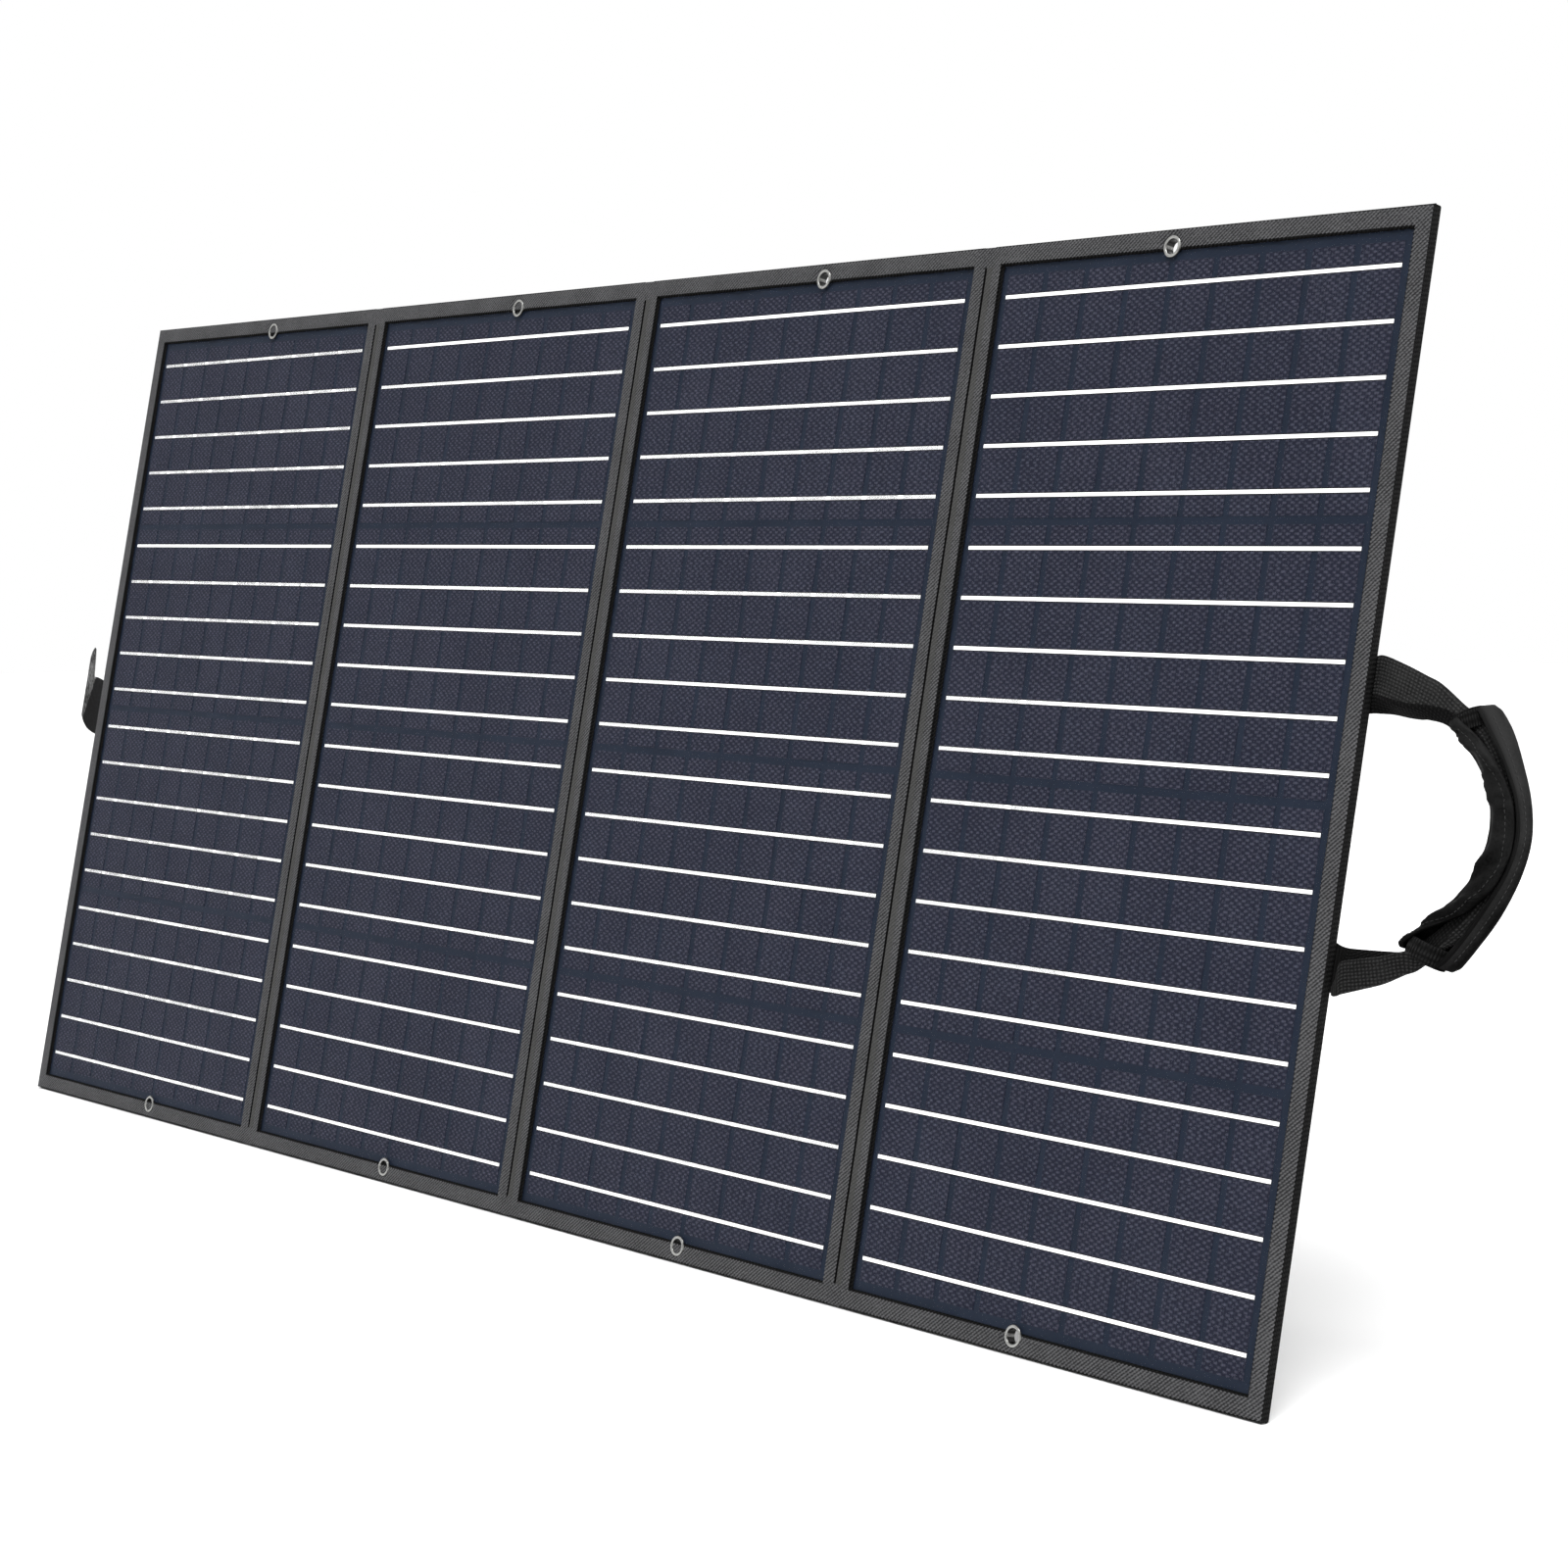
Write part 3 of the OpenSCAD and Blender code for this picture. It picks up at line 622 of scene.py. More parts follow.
def loft(rings, cyclic=False, around=True):
    """Faces over a grid of rings. around closes each ring; cyclic joins the last ring to the first, and
    otherwise the two end rings are capped."""
    rings = np.asarray(rings, float)
    count, size = rings.shape[:2]
    faces = []
    for r in range(count if cyclic else count - 1):
        for k in range(size if around else size - 1):
            a = r * size + k
            b = r * size + (k + 1) % size
            c = ((r + 1) % count) * size + (k + 1) % size
            d = ((r + 1) % count) * size + k
            faces.append((a, b, c, d))
    if not cyclic and around:
        faces.append(tuple(reversed(range(size))))
        faces.append(tuple(range((count - 1) * size, count * size)))
    return rings.reshape(-1, 3), faces


def joined(*parts):
    """Several (points, faces) as one."""
    points = []
    faces = []
    start = 0
    for part_points, part_faces in parts:
        points.append(np.asarray(part_points, float))
        faces += [tuple(i + start for i in face) for face in part_faces]
        start += len(part_points)
    return np.concatenate(points), faces


def woven(points):
    """Weave coordinates of flat work: along X and up Z, running on round the edges."""
    return np.column_stack((points[:, 0] + points[:, 1], points[:, 2] + 0.6 * points[:, 1]))


def set_weave(mesh, weave):
    """Stores each point's place in the cloth, in metres, for the fabric materials."""
    old = mesh.attributes.get("weave")
    if old:
        mesh.attributes.remove(old)
    attribute = mesh.attributes.new("weave", "FLOAT_VECTOR", "POINT")
    values = np.zeros((len(mesh.vertices), 3), np.float32)
    values[:, :2] = weave * MM
    attribute.data.foreach_set("vector", values.ravel())


def add_piece(name, points, faces, materials, face_slots=None, weave=None, place=PANEL, sharp_deg=40):
    """Makes an object in the row frame from points in a place's own millimetres."""
    points = np.asarray(points, float)
    matrix = np.array(place)
    moved = points @ matrix[:3, :3].T + matrix[:3, 3]
    mesh = bpy.data.meshes.new(name)
    mesh.from_pydata(moved.tolist(), [], faces)
    for material in materials:
        mesh.materials.append(material)
    if face_slots is not None:
        mesh.polygons.foreach_set("material_index", np.asarray(face_slots, np.int32))
    mesh.shade_smooth()
    mesh.set_sharp_from_angle(angle=math.radians(sharp_deg))
    set_weave(mesh, woven(points) if weave is None else np.asarray(weave, float))
    mesh.update()
    piece = bpy.data.objects.new(name, mesh)
    bpy.context.scene.collection.objects.link(piece)
    return piece


def rod_mesh(x, z, radius, y0, y1, sides=40):
    """A closed round rod along the panel's depth."""
    rings = [[(x + radius * math.cos(a), y, z + radius * math.sin(a))
              for a in np.linspace(0, 2 * math.pi, sides, endpoint=False)] for y in (y0, y1)]
    points, faces = loft(rings)
    return points, oriented(points, faces)


def drill_eyelet_holes(piece, leaf):
    """Cuts the two eyelet holes through a piece of a leaf, and gives it its weave again."""
    rods = [rod_mesh(x, z, HOLE_R, -3, LEAF_T + 3) for x, z in eyelet_spots(leaf)]
    points, faces = joined(*rods)
    cutter = add_piece("cutter", points, faces, [])
    modifier = piece.modifiers.new("holes", "BOOLEAN")
    modifier.operation = "DIFFERENCE"
    modifier.object = cutter
    modifier.solver = "FAST"
    bpy.context.view_layer.update()
    cut = bpy.data.meshes.new_from_object(piece.evaluated_get(bpy.context.evaluated_depsgraph_get()))
    piece.modifiers.clear()
    piece.data = cut
    bpy.data.objects.remove(cutter)
    inverse = np.array(PANEL.inverted())
    moved = np.array([v.co for v in cut.vertices]) @ inverse[:3, :3].T + inverse[:3, 3]
    set_weave(cut, woven(moved))


HOLE_R = 4.25
STITCH_SIDES = 5


def stitch(start, end, normal, radius=0.22):
    """One stitch: a short thread that rises out of the cloth and dives back in."""
    start = np.asarray(start, float)
    end = np.asarray(end, float)
    normal = np.asarray(normal, float)
    along = end - start
    side = np.cross(normal, along / np.linalg.norm(along))
    rings = []
    for share, size, lift in ((0.0, 0.35, -0.1), (0.25, 1.0, 0.12), (0.75, 1.0, 0.12), (1.0, 0.35, -0.1)):
        centre = start + along * share + normal * lift
        angles = np.linspace(0, 2 * math.pi, STITCH_SIDES, endpoint=False)
        rings.append([centre + radius * size * (math.cos(a) * side + math.sin(a) * normal) for a in angles])
    points, faces = loft(rings)
    return points, oriented(points, faces)


def seam(path, normal, pitch=3.2, length=2.2, radius=0.22):
    """Stitches along a path of points, as one list of parts. normal is a vector, or one for each point."""
    path = np.asarray(path, float)
    normals = np.broadcast_to(np.asarray(normal, float), path.shape)
    steps = np.concatenate(([0], np.cumsum(np.linalg.norm(np.diff(path, axis=0), axis=1))))
    parts = []
    for middle in np.arange(pitch, steps[-1] - pitch / 2, pitch):
        ends = [np.array([np.interp(middle + s * length / 2, steps, path[:, k]) for k in range(3)]) for s in (-1, 1)]
        out = np.array([np.interp(middle, steps, normals[:, k]) for k in range(3)])
        parts.append(stitch(ends[0], ends[1], out / np.linalg.norm(out), radius))
    return parts


def box_path(x0, x1, y, z0, z1):
    """A closed rectangle at one depth, as a path."""
    return [(x0, y, z0), (x1, y, z0), (x1, y, z1), (x0, y, z1), (x0, y, z0)]


def add_stitches(name, parts, body, place=PANEL, material=None):
    points, faces = joined(*parts)
    piece = add_piece(name, points, faces, [material or THREAD], place=place)
    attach(piece, body)
    return piece


def strap_mesh(grid, thickness, edge_share=0.5, sides=1):
    """A strap from a grid of middle points: grid[i][j] runs along i and across j. Gives points, faces, the face
    slots (0 on the side that the normal points to, 1 on the other, 0 on the edges) and the weave."""
    grid = np.asarray(grid, float)
    rows, columns = grid.shape[:2]
    along = np.gradient(grid, axis=0)
    across = np.gradient(grid, axis=1)
    normal = np.cross(across, along) * sides
    normal /= np.linalg.norm(normal, axis=2, keepdims=True) + 1e-12
    half = np.full(columns, thickness / 2)
    half[0] = half[-1] = thickness / 2 * edge_share
    top = grid + normal * half[None, :, None]
    bottom = grid - normal * half[None, :, None]
    ring = np.concatenate((top, bottom[:, ::-1]), axis=1)
    points, faces = loft(ring)
    slots = [0 if k < columns else 1 for _ in range(rows - 1) for k in range(2 * columns)] + [0, 0]
    u = np.concatenate((np.zeros((rows, 1)), np.cumsum(np.linalg.norm(np.diff(grid, axis=1), axis=2), 1)), 1)
    v = np.concatenate((np.zeros((1, columns)), np.cumsum(np.linalg.norm(np.diff(grid, axis=0), axis=2), 0)), 0)
    v = np.repeat(v.mean(1, keepdims=True), columns, 1)
    weave = np.stack((np.concatenate((u, u[:, ::-1]), 1), np.concatenate((v, v[:, ::-1]), 1)), 2)
    return points, oriented(points, faces), slots, weave.reshape(-1, 2)


def smooth_path(knots, count):
    """A Catmull-Rom curve through the knots, sampled evenly by knot number. Knots may be of any length."""
    knots = np.asarray(knots, float)
    padded = np.concatenate((2 * knots[:1] - knots[1:2], knots, 2 * knots[-1:] - knots[-2:-1]))
    result = []
    for t in np.linspace(0, len(knots) - 1, count):
        i = min(int(t), len(knots) - 2)
        s = t - i
        p0, p1, p2, p3 = padded[i:i + 4]
        result.append(0.5 * (2 * p1 + (p2 - p0) * s + (2 * p0 - 5 * p1 + 4 * p2 - p3) * s ** 2
                             + (3 * p1 - p0 - 3 * p2 + p3) * s ** 3))
    return np.array(result)


def smoothstep(value):
    value = np.clip(value, 0, 1)
    return value * value * (3 - 2 * value)


def ripple(x, z, scale, seed=0.0):
    """Smooth noise over the panel, from about -1 to 1, with blobs about scale millimetres wide."""
    return noise.noise(Vector((x / scale, z / scale, seed)))


# ---------------------------------------------------------------- leaves: border, back and folds
EYELET_DIP_START = 5.7
EYELET_DIP_END = 9.0
DIP_Y = -0.03
CROWN_Y = -0.8
# Depth of the window's wall foot and of the dark band, and the band's widths: the band is painted shade beside the
# window
BAND_Y = 0.5
BAND_LEFT = 1.7
BAND_RIGHT = 0.25
BAND_END = 0.5
# Width of the near-black strips of painted shade beside each ribbon
RIBBON_SHADE_WIDTH = 0.5


def frame_outline(leaf, pitch_x, pitch_z):
    """Matching points on the outer edge, the window's edge and the edge of the dark band of painted shade of a
    leaf's border, walking round it once. The band is wide on the window's left side only."""
    x0, x1 = LEAF_EDGES[leaf]
    line0 = FOLD_X["middle"] + (leaf - 3) * LEAF_W
    edges = [
        (x0, 0, x1, HEIGHT),
        (line0 + SIDE_BORDER, END_BORDER, line0 + LEAF_W - SIDE_BORDER, HEIGHT - END_BORDER),
    ]
    left, low, right, high = edges[1]
    edges.append((left + BAND_LEFT, low + BAND_END, right - BAND_RIGHT, high - BAND_END))
    corners = [np.array([(a, b), (c, b), (c, d), (a, d)], float) for a, b, c, d in edges]
    outlines = [[], [], []]
    for side in range(4):
        length = np.linalg.norm(corners[0][(side + 1) % 4] - corners[0][side])
        count = int(length / (pitch_x if side % 2 == 0 else pitch_z))
        for outline, corner in zip(outlines, corners):
            for share in np.linspace(0, 1, count, endpoint=False):
                outline.append(corner[side] + (corner[(side + 1) % 4] - corner[side]) * share)
    return [np.array(outline) for outline in outlines]


def border_trim(leaf):
    """Twill border: a crowned, turned-under strip round the window, with the ribs' ends showing at its edges and
    a thin dark band beside the window; the band and the window's wall are near-black as painted shade."""
    outer, inner, band = frame_outline(leaf, 0.25 / TWILL_X, -0.25 / TWILL_Z)
    width = np.linalg.norm(inner - outer, axis=1)[:, None]
    inward = (inner - outer) / width
    phase = 2 * math.pi * (TWILL_X * outer[:, 0] + TWILL_Z * outer[:, 1])
    teeth = (0.5 + 0.5 * np.cos(phase))[:, None]
    corner = width / np.minimum(width, SIDE_BORDER)
    profile = [
        (0.0 * width, CLOTH_FRONT), (0.0 * width, -0.05), (0.15 * corner, -0.42), ((0.35 + 0.5 * teeth) * corner, -0.58),
        (0.22 * width, -0.72), (0.36 * width, CROWN_Y), (0.5 * width, CROWN_Y), (0.64 * width, CROWN_Y),
        (0.78 * width, -0.76), (width - (0.5 + 0.6 * teeth) * corner, -0.68), (width - (0.1 + 0.35 * teeth) * corner, -0.45),
        (width - 0.1, BAND_Y),
    ]
    outlines = [outer + inward * inset for inset, _ in profile]
    depths = [y for _, y in profile]
    reach = (band - inner) * (1 - 0.3 * teeth)
    outlines += [inner + reach, inner + reach * 1.04]
    depths += [BAND_Y, CLOTH_FRONT]
    spots = eyelet_spots(leaf)
    rings = []
    for place, y in zip(outlines, depths):
        depth = np.full(len(place), float(y))
        for x, z in spots:
            far = np.hypot(place[:, 0] - x, place[:, 1] - z)
            rise = smoothstep((far - EYELET_DIP_START) / (EYELET_DIP_END - EYELET_DIP_START))
            depth = np.where(depth < DIP_Y, DIP_Y + (depth - DIP_Y) * rise, depth)
        rings.append(np.column_stack((place[:, 0], depth, place[:, 1])))
    points, faces = loft(rings, cyclic=True)
    size = len(outer)
    # Faces from ring 9 to 12, the window's edge, wall and band, take the near-black edge cloth as painted shade; faces
    # 0 to 2 wrap the outer edge in that black cloth itself
    slots = [0 if 3 <= r <= 8 else 1 for r in range(len(rings)) for _ in range(size)]
    piece = add_piece(f"border_trim_{leaf}", points, oriented(points, faces), [BORDER_TWILL, EDGE_TWILL], slots)
    drill_eyelet_holes(piece, leaf)
    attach(piece, f"leaf_{leaf}")
    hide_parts(f"border_{leaf}")


def ribbon_edge_shade_strips(leaf):
    """Thin near-black strips above and below every ribbon: painted shade along the ribbons' edges."""
    points = (turned_points(f"ribbons_{leaf}") - ORIGIN) / MM
    low = points.min(0)
    high = points.max(0)
    levels = sorted(set(np.round(points[:, 2], 2)))
    parts = []
    for z, direction in zip(levels, (-1, 1) * (len(levels) // 2)):
        rings = []
        for x, lift in ((low[0] - 0.3, 0.3), (low[0] + 0.4, 1.0), (0.5 * (low[0] + high[0]), 0.9), (high[0] - 0.4, 1.0),
                        (high[0] + 0.3, 0.3)):
            near = z + direction * 0.02
            far = z + direction * RIBBON_SHADE_WIDTH
            ring = [(x, high[1] - 0.005, near), (x, high[1] - 0.03 - 0.06 * lift, near),
                    (x, high[1] - 0.03 - 0.04 * lift, (near + far) / 2), (x, high[1] - 0.005, far)]
            rings.append(ring)
        bead_points, bead_faces = loft(rings)
        parts.append((bead_points, oriented(bead_points, bead_faces)))
    points, faces = joined(*parts)
    piece = add_piece(f"ribbon_edge_shade_strips_{leaf}", points, faces, [RIBBON_EDGE_SHADE])
    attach(piece, f"leaf_{leaf}")


def rounded_ring(x0, x1, z0, z1, radius, y, side_counts=(24, 48), arc=5):
    """A rectangle with round corners at one depth, always with the same number of points."""
    radius = max(radius, 0.01)
    corners = [(x1 - radius, z0 + radius, -90), (x1 - radius, z1 - radius, 0),
               (x0 + radius, z1 - radius, 90), (x0 + radius, z0 + radius, 180)]
    ring = []
    for index, (cx, cz, start) in enumerate(corners):
        for a in np.radians(np.linspace(start, start + 90, arc)):
            ring.append((cx + radius * math.cos(a), y, cz + radius * math.sin(a)))
        nx, nz, next_start = corners[(index + 1) % 4]
        end = (nx + radius * math.cos(math.radians(next_start)), nz + radius * math.sin(math.radians(next_start)))
        last = ring[-1]
        count = side_counts[1] if index % 2 == 0 else side_counts[0]
        for share in np.linspace(0, 1, count + 1)[1:-1]:
            ring.append((last[0] + (end[0] - last[0]) * share, y, last[2] + (end[1] - last[2]) * share))
    return np.array(ring)


def back_panel(leaf):
    """Back cloth: a shallow tray that wraps the leaf's edges, with a stitched hem and slight slack."""
    x0, x1 = LEAF_EDGES[leaf]
    low, high = panel_box(f"board_{leaf}")
    wall = low[0] - x0 + 0.05
    cavity_y = high[1]

    def ring(inset, y, radius):
        return rounded_ring(x0 + inset, x1 - inset, inset, HEIGHT - inset, radius, y)

    rings = [
        ring(wall + 3, cavity_y, 0.3), ring(wall, cavity_y, 0.3), ring(wall, CLOTH_FRONT, 0.3), ring(0.25, CLOTH_FRONT, 0.6),
        ring(0, CLOTH_FRONT + 0.35, 0.8), ring(0, LEAF_T - 0.7, 0.8), ring(0.2, LEAF_T - 0.25, 0.8), ring(0.7, LEAF_T, 0.8),
        ring(4.2, LEAF_T, 0.8), ring(4.9, LEAF_T - 0.22, 0.8), ring(5.6, LEAF_T - 0.02, 0.8), ring(12, LEAF_T, 0.8),
        ring(32, LEAF_T, 0.8), ring(70, LEAF_T, 0.8), ring(105, LEAF_T, 0.8), ring(126, LEAF_T, 0.8),
    ]
    for index in range(10, len(rings)):
        for point in rings[index]:
            point[1] -= 0.10 + 0.10 * ripple(point[0], point[2], 55, leaf)
    points, faces = loft(rings)
    slots = [1 if 2 <= r <= 6 else 0 for r in range(len(rings) - 1) for _ in range(len(rings[0]))] + [0, 0]
    piece = add_piece(f"back_panel_{leaf}", points, oriented(points, faces), [BACK_OXFORD, EDGE_TWILL], slots, sharp_deg=60)
    drill_eyelet_holes(piece, leaf)
    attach(piece, f"leaf_{leaf}")
    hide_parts(f"back_cloth_{leaf}")
    hem = 4.2
    path = box_path(x0 + hem, x1 - hem, LEAF_T + 0.02, hem, HEIGHT - hem)
    parts = [part for part in seam(path, (0, 1, 0)) if clear_of_eyelets(part[0], leaf)]
    add_stitches(f"back_stitches_{leaf}", parts, f"leaf_{leaf}")


def clear_of_eyelets(points, leaf):
    """Whether a stitch stays off the eyelets."""
    spot = np.mean(points, 0)
    return all(math.hypot(spot[0] - x, spot[2] - z) > 7.2 for x, z in eyelet_spots(leaf))


CREASE_END = 10.5


def fold_cover(name):
    """Fabric bridge over a fold: twill in front with a crease in painted shade beside a smooth lip, black behind."""
    line = FOLD_X[name]
    front = [(-4.5, -0.55), (-3.9, -0.62), (-3.1, -0.68), (-2.3, -0.66), (-1.8, -0.45), (-1.45, 0.45), (-1.0, 0.75),
             (-0.6, 0.45), (-0.35, -0.35), (0.3, -0.56), (1.2, -0.62), (2.1, -0.62), (3.0, -0.58), (3.8, -0.55), (4.5, -0.5)]
    back = [(4.5, 4.38), (3.4, 4.42), (2.2, 4.35), (1.2, 4.15), (0.5, 3.9), (0.0, 3.8), (-0.5, 3.9), (-1.2, 4.15),
            (-2.2, 4.35), (-3.4, 4.42), (-4.5, 4.38)]
    stations = np.concatenate(([0.3, 0.8, 4, 8.6, CREASE_END, 12.4], np.linspace(14, HEIGHT - 14, 125),
                               [HEIGHT - 12.4, HEIGHT - CREASE_END, HEIGHT - 8.6, HEIGHT - 4, HEIGHT - 0.8, HEIGHT - 0.3]))
    rings = []
    for z in stations:
        groove = float(smoothstep((min(z, HEIGHT - z) - 8.6) / 3.8))
        squeeze = 0.12 if min(z, HEIGHT - z) < 0.5 else 0.0
        ring = []
        for x, y in front:
            level = -0.62 + 0.05 * ripple(line, z, 14, 3.0)
            depth = level + (y + 0.62) * (groove if -2.0 < x < 0.0 else 1.0)
            wobble = 0.12 * groove * ripple(z, line, 18, 7.0) if -2.0 < x < 0.4 else 0.0
            ring.append((line + x + wobble, depth + squeeze, z))
        for x, y in back:
            ring.append((line + x, y - squeeze, z))
        rings.append(ring)
    points, faces = loft(rings)
    count = len(front) + len(back)
    # Faces in the crease groove take the near-black crease cloth: painted shade
    slots = []
    for z in stations[:-1]:
        creased = CREASE_END - 1 <= z <= HEIGHT - CREASE_END - 1
        for k in range(count):
            x = front[k][0] if k < len(front) else None
            if k >= len(front) - 1:
                slots.append(2)
            elif creased and -1.9 < x < -0.4:
                slots.append(1)
            elif creased and x > -0.4 and x < 3.5:
                slots.append(3)
            else:
                slots.append(0)
    slots += [2, 2]
    piece = add_piece(f"fold_cover_{name}", points, oriented(points, faces), [BORDER_TWILL, CREASE_SHADE, EDGE_TWILL, FOLD_TWILL], slots)
    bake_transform(piece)
    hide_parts(f"fold_strip_{name}")


# ---------------------------------------------------------------- kickstands
STAND_CORNER = 12


def plate_ring(width, top, bottom, corner, y, arc=8, side=30):
    """The kickstand's outline at one depth: square at the hinge, round at the two feet."""
    ring = []
    feet = [(corner - width / 2, 180, 270), (width / 2 - corner, 270, 360)]
    for cx, start, end in feet:
        for a in np.radians(np.linspace(start, end, arc)):
            ring.append((cx + corner * math.cos(a), y, corner - bottom + corner * math.sin(a)))
    for share in np.linspace(0, 1, side)[1:]:
        ring.append((width / 2, y, corner - bottom + (bottom - corner - top) * share))
    for share in np.linspace(0, 1, 12)[1:]:
        ring.append((width / 2 - width * share, y, -top))
    for share in np.linspace(0, 1, side)[1:-1]:
        ring.append((-width / 2, y, -top - (bottom - corner - top) * share))
    return np.array(ring)


def kickstand(side):
    """Kickstand cover, its hinge strip and its stay strap."""
    joint = joints[f"kickstand_{side}_fold"]
    pivot = panel_point(joint["pos_m"])
    open_deg = -min(joint["range_deg"])
    stand = PANEL @ Matrix.Translation(pivot) @ Matrix.Rotation(math.radians(open_deg), 4, "X")
    own = np.array([stand.inverted() @ v.co for v in frame["nodes"][f"kickstand_sleeve_{side}"].data.vertices])
    low, high = own.min(0), own.max(0)
    width, top, bottom, half_t = high[0] - low[0], -high[2], -low[2], high[1]
    leaf = 1 if side == "left" else 4

    def ring(inset, y):
        return plate_ring(width - 2 * inset, top + inset, bottom - inset, max(STAND_CORNER - inset, 1), y)

    outside = [ring(26, half_t - 0.25), ring(12, half_t - 0.2), ring(9.6, half_t - 0.15), ring(9.2, half_t + 0.12),
               ring(5, half_t + 0.2), ring(1.2, half_t + 0.05), ring(0.3, half_t - 0.5), ring(0, 0.6), ring(0, -0.6),
               ring(0.3, -half_t + 0.4), ring(1.2, -half_t), ring(9, -half_t), ring(9.6, -half_t + 0.12), ring(26, -half_t + 0.15)]
    for index in (0, 1, 13):
        for point in outside[index]:
            point[1] += 0.12 * ripple(point[0], point[2], 40, 11.0)
    inner = half_t - 0.85
    inside = [ring(20, inner), ring(0.85, inner), ring(0.85, -inner), ring(20, -inner)]
    points, faces = loft(outside)
    cavity_points, cavity_faces = loft(inside)
    count = len(outside[0])
    slots = [1 if 3 <= r <= 9 else 0 for r in range(len(outside) - 1) for _ in range(count)] + [0, 0]
    slots += [0] * len(cavity_faces)
    points, faces = joined((points, oriented(points, faces)), (cavity_points, oriented(cavity_points, cavity_faces, True)))
    cover = add_piece(f"kickstand_cover_{side}", points, faces, [STAND_OXFORD, BINDING], slots, place=stand)
    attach(cover, f"kickstand_{side}")
    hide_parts(f"kickstand_sleeve_{side}")
    edge = 6.5
    path = plate_ring(width - 2 * edge, top + edge, bottom - edge, STAND_CORNER - edge, half_t + 0.2)
    path = np.concatenate((path, path[:1]))
    add_stitches(f"kickstand_stitches_{side}", seam(path, (0, 1, 0)), f"kickstand_{side}", stand)
    hinge_strip(side, leaf, pivot, stand, width, half_t)
    stay_strap(side, leaf)


def hinge_strip(side, leaf, pivot, stand, width, half_t):
    """Fabric strip sewn to the leaf, which runs down over the hinge and is sewn to the kickstand's back."""
    low, high = panel_box(f"kickstand_hinge_{side}")
    t = 0.9
    own = PANEL.inverted() @ stand
    half_w = width / 2 - 1
    middle = [(low[1] + t / 2, z) for z in np.linspace(high[2] - 0.5, low[2] + 4, 8)]
    down = [own @ Vector((0, half_t + 0.35 + t / 2, -z)) for z in (4.5, 8, 12, 17, 22, 26)]
    over = [(pivot[1] + 0.8, pivot[2] + 3.4), (pivot[1] + 2.2, pivot[2] - 0.2)]
    knots = [(y, z) for y, z in middle] + over + [(p[1], p[2]) for p in down]
    line = smooth_path(knots, 44)
    grid = [[(pivot[0] + x, y, z) for x in np.linspace(-half_w, half_w, 26)] for y, z in line]
    points, faces, slots, weave = strap_mesh(grid, t)
    strip = add_piece(f"kickstand_strip_{side}", points, faces, [BINDING, BINDING], slots, weave)
    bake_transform(strip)
    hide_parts(f"kickstand_hinge_{side}")
    inset = 3
    y = low[1] + t + 0.05
    path = box_path(pivot[0] - half_w + inset, pivot[0] + half_w - inset, y, low[2] + 7, high[2] - 3)
    add_stitches(f"hinge_stitches_{side}", seam(path, (0, 1, 0)), f"leaf_{leaf}")
    path = [(x, half_t + 0.35 + t + 0.05, z) for z in (-11, -23) for x in ((inset - half_w, half_w - inset))]
    rows = seam(path[:2], (0, 1, 0)) + seam(path[2:], (0, 1, 0))
    add_stitches(f"stand_top_stitches_{side}", rows, f"kickstand_{side}", stand)


def stay_strap(side, leaf):
    """Webbing stay between the leaf and the kickstand, with its near end laid flat against the leaf."""
    low, high = panel_box(f"kickstand_stay_{side}")
    points = (turned_points(f"kickstand_stay_{side}") - ORIGIN) / MM
    near = points[points[:, 1] < low[1] + 2].mean(0)
    far = points[points[:, 1] > high[1] - 2].mean(0)
    t = 1.3
    half_w = (high[0] - low[0]) / 2 - 0.4
    line = smooth_path([(near[1] - 0.1 + t / 2 + 0.5, near[2] + 14), (near[1] + t / 2 + 0.5, near[2] + 8),
                        (near[1] + 1.6, near[2] + 2.5), (near[1] + 7, near[2] - 1.2),
                        tuple(near[1:] * 0.66 + far[1:] * 0.34 - np.array([0, 2.5])),
                        tuple(near[1:] * 0.33 + far[1:] * 0.67 - np.array([0, 2.5])), (far[1] - 2.6, far[2] + 0.0)], 60)
    grid = [[(near[0] + x, y, z) for x in np.linspace(-half_w, half_w, 11)] for y, z in line]
    points, faces, slots, weave = strap_mesh(grid, t)
    strap = add_piece(f"kickstand_strap_{side}", points, faces, [WEBBING, WEBBING], slots, weave)
    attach(strap, f"leaf_{leaf}")
    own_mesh(strap)
    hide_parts(f"kickstand_stay_{side}")


dress_cad_nodes()
for leaf in LEAVES:
    border_trim(leaf)
    ribbon_edge_shade_strips(leaf)
    back_panel(leaf)
fold_cover("left")
fold_cover("middle")
fold_cover("right")
for side in SIDES:
    kickstand(side)


# ---------------------------------------------------------------- carry handle
handle_pivot = panel_point(joints["handle_swing"]["pos_m"])
HANDLE_X, HANDLE_Y, _ = handle_pivot
ANCHOR_LOW, ANCHOR_HIGH = panel_box("handle_anchors")
HANDLE_Z = (ANCHOR_LOW[2] + ANCHOR_HIGH[2]) / 2
ROOT_RISE = (ANCHOR_HIGH[2] - ANCHOR_LOW[2]) / 2 - 12.5


def across(*knots):
    """A section of the strap: outer edge, fold and inner edge, each as (x, y, z) from the handle's middle."""
    return [(HANDLE_X + x, HANDLE_Y + y, HANDLE_Z + z) for x, y, z in knots]


